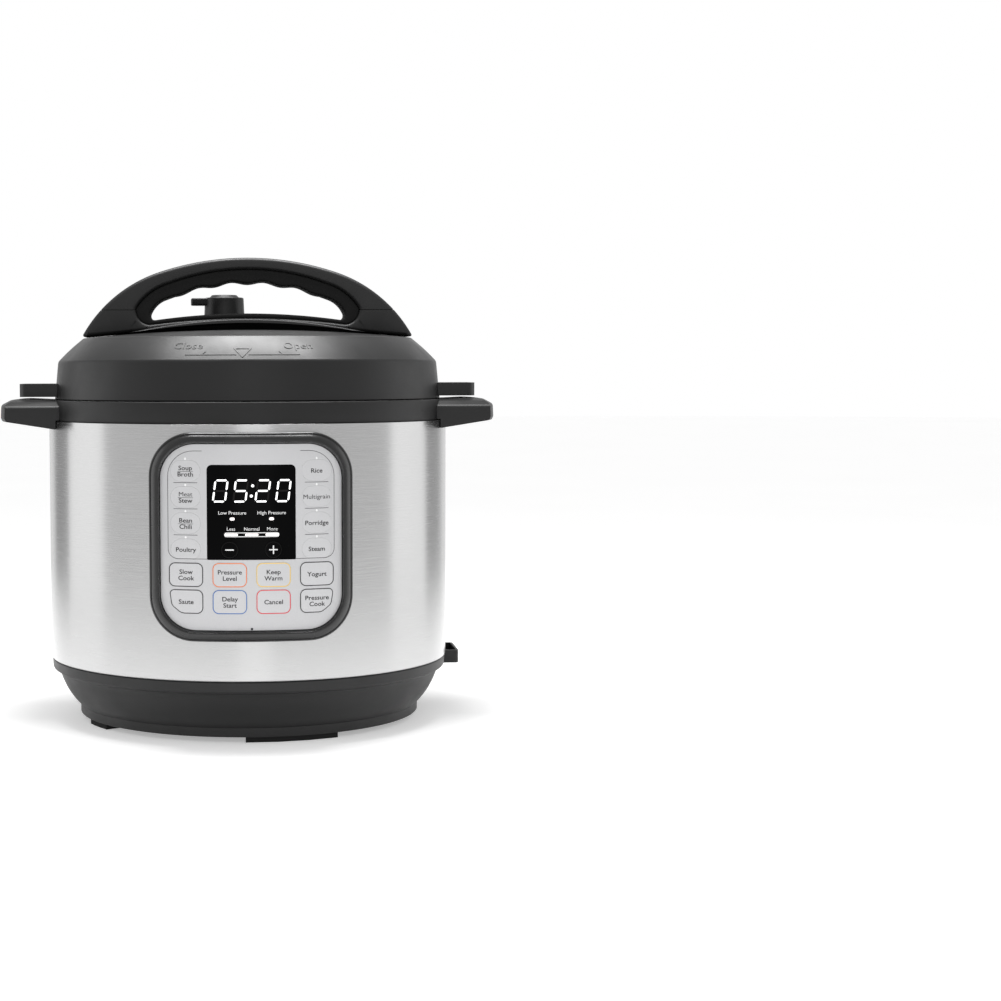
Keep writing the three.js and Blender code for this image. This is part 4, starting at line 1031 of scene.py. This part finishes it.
def build_lid_marks():
    """The raised words, arrows and triangle that show how the lid turns."""
    low, high = -0.2, 0.28
    marks = [text_bmesh(words, 8.4, x, 11.6, low, high, 0.02, 1.02) for words, x in (("Close", -40.2), ("Open", 31.2))]
    triangle = filleted([(-10.9, 9.8, 0.5), (1.5, 9.8, 0.5), (-4.7, 0.9, 0.5)], 4)
    inner = filleted([(-9.3, 8.9, 0.4), (-0.1, 8.9, 0.4), (-4.7, 2.4, 0.4)], 4)
    marks.append(slab_bmesh(triangle, low, high, [inner]))
    for side, start, end in ((-1, -8.4, -40.5), (1, -1.0, 30.8)):
        tip = [(end, 3.4), (end - side * 13, 6.4), (end - side * 11, 4.1), (start, 4.1), (start, 3.4)]
        marks.append(slab_bmesh(tip, low, high))
    place("lid_marks", joined([drape_on_shoulder(mark) for mark in marks]), "lid", "lid_plastic")


def dome_arc(half, lift, steps):
    return arc((-half, CONE_TOP_Z + lift), (0, LID_TOP + lift), (half, CONE_TOP_Z + lift), steps)


def swell(x, half, power, least=0.0):
    """A share that is 1 in the middle and dies away towards the ends."""
    return max(least, 1 - (x / half) ** 2) ** power


def arch_outline():
    H, F = FOOT_X, FOOT_Z
    side = arc((H, F + 0.9), (H - 17.7, F + 24), (H - 51.3, F + 44.6), 22)
    top = arc((H - 51.3, F + 44.6), (0, F + 55), (51.3 - H, F + 44.6), 30)
    under = [(x, z + 2.4 * swell(x, H - 22, 1.5)) for x, z in dome_arc(H, 0.7, 48)]
    return [*side, *top, *mirrored(side), *under]


def grip_outline(shrink=0.0):
    G, F = GRIP_HALF - shrink, FOOT_Z
    end = arc((G - 23, F + 37.2 - shrink), (G - 8.7, F + 30), (G, F + 20.2), 10)
    corner = arc((G, F + 20.2), (G - 1.8, F + 13.8 + shrink), (G - 9, F + 9.5 + shrink), 10)
    top = arc((23 - G, F + 37.2 - shrink), (0, F + 46.8 - shrink), (G - 23, F + 37.2 - shrink), 28)
    under = arc((G - 9, F + 9.5 + shrink), (0, F + 13.9 + shrink), (9 - G, F + 9.5 + shrink), 24)
    return [*top, *end, *corner, *under, *mirrored(corner), *mirrored(end)]


def finger_outline():
    G, F = GRIP_HALF - 9.5, FOOT_Z
    ridge = G - 16.5
    xs = [-ridge + 2 * ridge * i / 84 for i in range(85)]
    top = [(x, F + 38.6 - 9 * (x / ridge) ** 2 - 0.95 * math.cos(math.tau * x / 22.8)) for x in xs]
    end = arc((G - 10, F + 27), (G - 3, F + 22), (G, F + 17), 8)
    corner = arc((G, F + 17), (G - 0.8, F + 13.6), (G - 4, F + 12.6), 8)
    under = arc((G - 4, F + 12.6), (0, F + 17), (4 - G, F + 12.6), 24)
    return [*top, *end, *corner, *under, *mirrored(corner), *mirrored(end)]


def half_of(mesh, z, upper):
    """The part of a closed mesh above or below a level, closed again at the cut."""
    bm = bmesh.new()
    bm.from_mesh(mesh)
    bisect(bm, (0, 0, z * UNIT), (0, 0, 1), clear_inner=upper, clear_outer=not upper)
    bmesh.ops.holes_fill(bm, edges=[edge for edge in bm.edges if edge.is_boundary], sides=0)
    return mesh_from(bm, scale=1)


def rounded_slab(outline, low, high, axis, holes, width, segments=5):
    """A flat piece with its edges rounded, as finished geometry."""
    holder = softened(linked("rounded", slab(outline, low, high, axis, holes)), width * UNIT, segments, 60)
    holder.modifiers["edges"].use_clamp_overlap = False
    return finish_mesh(baked(holder))


def build_lid_handle():
    arch = rounded_slab(arch_outline(), -18, 18, "Y", [grip_outline()], 2.6)
    seam = FOOT_Z + 19.3
    upper = half_of(arch, seam + 0.35, True)
    lower = half_of(arch, seam, False)
    place("handle_upper_shell", upper, "lid", "lid_plastic", "handle", "handle_upper")
    piece = place("handle_lower_shell", lower, "lid", "lid_plastic", "handle", "handle_lower")
    softened(piece, 0.0005, 2, 70)
    reach = FOOT_X - 20
    plinth = [*dome_arc(reach, 0.5, 30), *reversed([(x, z + 4.2) for x, z in dome_arc(reach - 6, 0.7, 30)])]
    place("handle_plinth", slab(plinth, -14.5, 14.5, "Y"), "lid", "lid_plastic", "handle")
    brow = [(x, z + 2.5 * swell(x, reach - 2, 1.5)) for x, z in dome_arc(reach - 2, 0.75, 48)]
    brow += [(x, z + 4.2 * swell(x, reach + 3, 0.8, 0.05)) for x, z in reversed(brow)]
    lip = rounded_slab(brow, -20.5, 20.5, "Y", [], 1.5, 5)
    place("handle_lip", lip, "lid", "lid_plastic", "handle")
    grip = rounded_slab(grip_outline(-0.25), -16.5, 16.5, "Y", [finger_outline()], 1.2, 4)
    place("grip_liner", grip, "lid", "grip_rubber", "grip", "handle_grip")


def build_valve():
    T = node_box("valve_handle")[1][2] - 1.7
    R = 14.7
    profile = filleted(
        [(0, T + 1.7, 0), (8.8, T + 1.7, 0.6), (10.4, T + 0.1, 0.5), (R - 0.9, T - 0.2, 0.9), (R, T - 22, 0.4),
         (R - 1.8, T - 22, 0.3), (R - 1.8, T - 7, 1), (0, T - 7, 0)],
        5,
    )
    cap = turned(profile, 96, (VALVE_X, VALVE_Y))
    corners = [(-8, -8, 0), (-15, -6.5, 5), (-23.5, -5.2, 2.5), (-24, 5.2, 2.5), (-15, 6.5, 5), (-8, 8, 0)]
    outline = filleted([(VALVE_X + x, VALVE_Y + y, r) for x, y, r in corners], 6)
    lever = rounded_slab(outline, T - 5.7, T - 0.5, "Z", [], 0.9, 3)
    place("valve_cap", carve(cap, [lever], "UNION"), "valve_handle", "lid_plastic", "handle", "valve_handle")


# ---- Pot, well and seals ----
def build_pot():
    R, rim = POT_HIGH[0] - 10.5, POT_HIGH[0]
    low, top = POT_LOW[2], POT_HIGH[2]
    profile = [
        (0, low),
        (R - 14, low),
        *arc((R - 12, low + 0.3), (R - 3.4, low + 5.0), (R, low + 15), 14),
        (R, top - 2.4),
        *arc((R + 0.1, top - 1.9), (R + 0.6, top - 1.25), (R + 1.4, top - 1), 4),
        (rim - 0.5, top - 1),
        (rim, top - 0.5),
        (rim - 0.5, top),
        (R + 0.8, top),
        *arc((R + 0.3, top - 0.1), (R - 0.6, top - 0.7), (R - 1, top - 1.7), 4),
        *arc((R - 1, low + 16), (R - 4.6, low + 8), (R - 14, low + 4.5), 14),
        (0, low + 4.5),
    ]
    place("pot_vessel", turned(profile), "inner_pot", "pot_steel", "pot", "inner_pot")
    for i, z in enumerate((low + 70, low + 108)):
        mark = turned([(R - 1.25, z), (R - 0.95, z), (R - 0.95, z + 0.6), (R - 1.25, z + 0.6)])
        place(f"level_mark_{i + 1}", mark, "inner_pot", "pot_steel", "small")


def build_seal():
    low, high = node_box("sealing_ring")
    inner, outer, z0, z1 = high[0] - 9, high[0], low[2], high[2]
    middle = (z0 + z1) / 2
    profile = filleted(
        [(inner, z0, 0.8), (outer - 0.2, z0, 1.8), (outer, middle, 1), (outer - 0.2, z1, 1.8), (inner, z1, 0.8),
         (inner + 1, z1 - 1.6, 0.6), (inner + 3.6, middle, 1.2), (inner + 1, z0 + 1.6, 0.6)],
        5,
    )
    place("seal_lip", turned(profile), "seal", "silicone", "silicone", "sealing_ring")


def build_collector():
    low, high = node_box("condensation_collector")
    width, front, back = high[0] - low[0], low[1], high[1]
    bottom, top = low[2], high[2]
    deep, middle = back - front, (front + back) / 2
    cavity = slab(box_outline(0, middle, width - 3, deep - 3, 2.2, 6), bottom + 1.8, RAIL_Z + 1.8)
    rail_way = slab(box_outline(0, middle - 5, width - 2.8, deep + 6, 0.5, 2), RAIL_Z - 2.1, RAIL_Z + 1.8)
    neck_way = slab(box_outline(0, middle - 3.7, 21, deep + 2.6, 0.5, 2), RAIL_Z - 1, top + 5)
    made = carve(slab(box_outline(0, middle, width, deep, 3.5, 8), bottom, top), [cavity, rail_way, neck_way])
    piece = place("collector_cup", made, "collector", "clear_plastic", "clear", "condensation_collector")
    softened(piece, 0.0005, 3, 50)


# ---- Carried-over pieces ----
NODE_FINISHES = {
    "well": ["outer_pot"],
    "heating": ["heating_plate", "sensor_cap"],
    "small": [
        "heating_element", "sensor_bracket", "sensor_spring", "sealing_ring_rack", "steam_pipe", "steam_pipe_nut",
        "anti_block_shield", "valve_weight", "float_valve", "locking_pin",
    ],
    "bright": ["lid_plate"],
    "body": ["bottom_cover", "accessory_socket", "inlet_housing", "panel_housing", "pressure_switch"],
    "foot": ["foot_front_right", "foot_front_left", "foot_rear_left", "foot_rear_right"],
    "silicone": ["float_cap"],
    "board": ["power_board", "control_board", "display_module"],
    "brass": ["power_inlet"],
}


def smoothing_group():
    """Shades a piece smooth, and keeps its corners sharp."""
    tree = bpy.data.node_groups.new("smooth corners kept", "GeometryNodeTree")
    for way in ("INPUT", "OUTPUT"):
        tree.interface.new_socket("Geometry", in_out=way, socket_type="NodeSocketGeometry")
    make, link = tree.nodes.new, tree.links.new
    below = make("FunctionNodeCompare")
    below.operation = "LESS_THAN"
    below.inputs["B"].default_value = math.radians(32)
    edges, faces = make("GeometryNodeSetShadeSmooth"), make("GeometryNodeSetShadeSmooth")
    edges.domain, faces.domain = "EDGE", "FACE"
    link(make("GeometryNodeInputMeshEdgeAngle").outputs["Unsigned Angle"], below.inputs["A"])
    link(make("NodeGroupInput").outputs[0], edges.inputs["Geometry"])
    link(below.outputs["Result"], edges.inputs["Shade Smooth"])
    link(edges.outputs["Geometry"], faces.inputs["Geometry"])
    link(faces.outputs["Geometry"], make("NodeGroupOutput").inputs[0])
    return tree


def dress_nodes():
    group = smoothing_group()
    rounded_nodes = {"bottom_cover", "accessory_socket", "inlet_housing", "pressure_switch", *NODE_FINISHES["foot"]}
    for finish, names in NODE_FINISHES.items():
        for name in names:
            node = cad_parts[name]
            node.data.materials.clear()
            node.data.materials.append(FINISHES[finish])
            if name in rounded_nodes:
                softened(node, 0.0005, 2, 50)
            node.modifiers.new("smooth", "NODES").node_group = group


def squash_spring():
    """The sensor's spring shortens towards its bracket as the cap is pressed."""
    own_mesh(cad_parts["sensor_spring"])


def build_socket_rim():
    x, y, _ = centre_of("accessory_socket")
    x, top = node_box("accessory_socket")[1][0] - 5.1, node_box("accessory_socket")[1][2]
    hole = box_outline(x, y, 7.2, 36.2, 1.6, 6)
    # A pale ring round the socket's opening: a painted highlight along its rim.
    rim = slab(box_outline(x, y, 9.6, 38.6, 2.4, 6), top - 1.2, top - 0.02, "Z", [hole])
    softened(place("socket_rim_highlight", rim, "base", "body_plastic", "rim"), 0.0002)


# ---- Studio ----
FLOOR_RADIUS = 9
FLOOR_GLOW = 0.36
SOFTBOX_SIZE = (0.46, 0.2)
SOFTBOX_PLACE = (0, -0.03, 0.75)
SOFTBOX_POWER = 6.4
SKY_LIGHT = 0.68
WALL_RADIUS = 1.05
WALL_TOP = 0.7


def build_stage():
    bm = bmesh.new()
    bmesh.ops.create_circle(bm, cap_ends=True, segments=96, radius=FLOOR_RADIUS)
    floor = linked("studio_floor", mesh_from(bm, scale=1))
    nodes = Nodes("studio floor")
    nodes.feed(Base_Color=nodes.tinted(nodes.noise(3, 3), (0.90, 0.90, 0.90), (0.92, 0.92, 0.92)))
    glow = dict(Emission_Color=(1, 1, 1, 1), Emission_Strength=FLOOR_GLOW)
    floor.data.materials.append(nodes.finished(Roughness=0.9, Specular_IOR_Level=0.1, **glow))
    light = bpy.data.lights.new("top_softbox", "AREA")
    light.shape = "RECTANGLE"
    light.size, light.size_y = SOFTBOX_SIZE
    light.energy = SOFTBOX_POWER
    lamp = linked("top_softbox", light)
    lamp.location = SOFTBOX_PLACE
    lamp.visible_camera = False
    build_walls()
    build_world()
    build_camera()


# Brightness of the studio's softboxes and flags by bearing, in degrees from the front towards +X.
WALLS = (
    (-180, 0.80), (-146, 0.90), (-136, 0.40), (-121, 0.46), (-116, 1.40), (-88, 1.46), (-82, 0.80), (-30, 0.74),
    (-9, 0.76), (-4, 1.32), (8, 1.32), (13, 0.76), (40, 0.74), (80, 0.80), (85, 1.44), (112, 1.36), (119, 0.46),
    (132, 0.50), (146, 0.90), (180, 0.80),
)


def build_walls():
    """A ring of tall softboxes and dark flags that only shows as reflections."""
    bm = bmesh.new()
    angles = [math.tau * i / 180 for i in range(180)]
    low, high = (
        [bm.verts.new((WALL_RADIUS * math.sin(t), -WALL_RADIUS * math.cos(t), z)) for t in angles]
        for z in (0, WALL_TOP)
    )
    for i in range(len(angles)):
        bm.faces.new((low[i - 1], low[i], high[i], high[i - 1]))
    wall = linked("studio_walls", mesh_from(bm, scale=1))
    for name in ("camera", "diffuse", "transmission", "volume_scatter", "shadow"):
        setattr(wall, "visible_" + name, False)
    nodes = Nodes("studio walls")
    at = nodes.split_position()
    bearing = nodes.maths("ARCTAN2", at["X"], nodes.maths("MULTIPLY", at["Y"], -1))
    ramp = nodes.add("ShaderNodeValToRGB")
    band = ramp.color_ramp
    band.interpolation = "EASE"
    for (_, level), edge in zip((WALLS[0], WALLS[-1]), band.elements):
        edge.color = (level, level, level, 1)
    for degrees, level in WALLS[1:-1]:
        band.elements.new((degrees + 180) / 360).color = (level, level, level, 1)
    nodes.link(nodes.ranged(bearing, 0, 1, -math.pi, math.pi), ramp.inputs["Fac"])
    nodes.feed(Emission_Color=ramp.outputs["Color"])
    dark = nodes.finished(Base_Color=(0, 0, 0, 1), Specular_IOR_Level=0.0, Emission_Strength=1.0)
    wall.data.materials.append(dark)


def build_world():
    """An even soft surround; the camera itself sees plain white."""
    world = bpy.data.worlds.new("studio")
    bpy.context.scene.world = world
    world.use_nodes = True
    tree = world.node_tree
    tree.nodes.clear()
    make, link = tree.nodes.new, tree.links.new
    soft, plain, pick = make("ShaderNodeBackground"), make("ShaderNodeBackground"), make("ShaderNodeMixShader")
    soft.inputs["Color"].default_value = (1, 1, 1, 1)
    soft.inputs["Strength"].default_value = SKY_LIGHT
    plain.inputs["Color"].default_value = (1, 1, 1, 1)
    link(make("ShaderNodeLightPath").outputs["Is Camera Ray"], pick.inputs[0])
    link(soft.outputs[0], pick.inputs[1])
    link(plain.outputs[0], pick.inputs[2])
    link(pick.outputs[0], make("ShaderNodeOutputWorld").inputs["Surface"])
    bpy.context.scene.view_settings.view_transform = "Standard"


LENS = 69.4
LENS_SHIFT = 0.19
EYE_BEARING = math.radians(0.7)
EYE_DISTANCE = 1.345
EYE_HEIGHT = 0.2378
EYE_YAW, EYE_PITCH, EYE_ROLL = math.radians(-2.54), math.radians(86.19), math.radians(-0.18)


def build_camera():
    """A long lens, a little above the lid's middle height and slightly left of the cooker's front."""
    camera = bpy.data.cameras.new("camera")
    camera.lens, camera.sensor_width, camera.shift_x, camera.clip_end = LENS, 36, LENS_SHIFT, 50
    eye = linked("camera", camera)
    eye.location = (-EYE_DISTANCE * math.sin(EYE_BEARING), -EYE_DISTANCE * math.cos(EYE_BEARING), EYE_HEIGHT)
    aim = Matrix.Rotation(EYE_YAW, 3, "Z") @ Matrix.Rotation(EYE_PITCH, 3, "X") @ Matrix.Rotation(EYE_ROLL, 3, "Z")
    eye.rotation_euler = aim.to_euler()
    bpy.context.scene.camera = eye


# ---- Operators ----
def operator(name, label, doc, *steps):
    """An operator class that runs its building steps in order."""

    def execute(self, context):
        for step in steps:
            step()
        return {"FINISHED"}

    fields = {"bl_idname": "cooker." + name, "bl_label": label, "bl_options": {"REGISTER", "UNDO"}}
    return type("COOKER_OT_" + name, (bpy.types.Operator,), {**fields, "__doc__": doc, "execute": execute})


OPERATORS = (
    operator("stage", "Studio", "Make the floor, the lights and the camera", build_stage),
    operator("finishes", "Finishes", "Make every material of the cooker", make_finishes),
    operator("shell", "Shell", "Make the brushed steel shell and its seam", build_shell),
    operator("collar", "Collar", "Make the collar, the side handles and the collector's rail", build_collar),
    operator("base", "Base", "Make the base tub and its screws", build_base),
    operator("panel", "Panel", "Make the bezel, the film and the window", build_panel),
    operator("keys", "Keys", "Make the key caps and their printing", build_keys),
    operator("printing", "Printing", "Print the panel and the display", build_panel_print, build_display),
    operator("lid", "Lid", "Make the lid's cover and its raised marks", build_lid, build_lid_marks),
    operator("handle", "Lid handle", "Make the arched handle and its grip", build_lid_handle),
    operator("valve", "Steam valve", "Make the valve's cap and ribs", build_valve),
    operator("pot", "Inner pot", "Make the inner pot and the sealing ring", build_pot, build_seal),
    operator("collector", "Collector", "Make the condensation cup", build_collector),
    operator("nodes", "Frame finishes", "Finish the carried-over pieces", dress_nodes, build_socket_rim, squash_spring),
)


class COOKER_PT_panel(bpy.types.Panel):
    """The cooker's building steps"""

    bl_label = "Electric pressure cooker"
    bl_space_type = "VIEW_3D"
    bl_region_type = "UI"
    bl_category = "Cooker"

    def draw(self, context):
        for group in (context.scene.cooker_sizes, context.scene.cooker_colours):
            for name in group.__annotations__:
                self.layout.prop(group, name)
        for step in OPERATORS:
            self.layout.operator(step.bl_idname)


CLASSES = (CookerSizes, CookerColours, *OPERATORS, COOKER_PT_panel)


def register():
    for one in CLASSES:
        bpy.utils.register_class(one)
    bpy.types.Scene.cooker_sizes = PointerProperty(type=CookerSizes)
    bpy.types.Scene.cooker_colours = PointerProperty(type=CookerColours)


def unregister():
    del bpy.types.Scene.cooker_colours
    del bpy.types.Scene.cooker_sizes
    for one in reversed(CLASSES):
        bpy.utils.unregister_class(one)


def main():
    register()
    for step in OPERATORS:
        category, name = step.bl_idname.split(".")
        getattr(getattr(bpy.ops, category), name)()


if __name__ == "__main__":
    main()
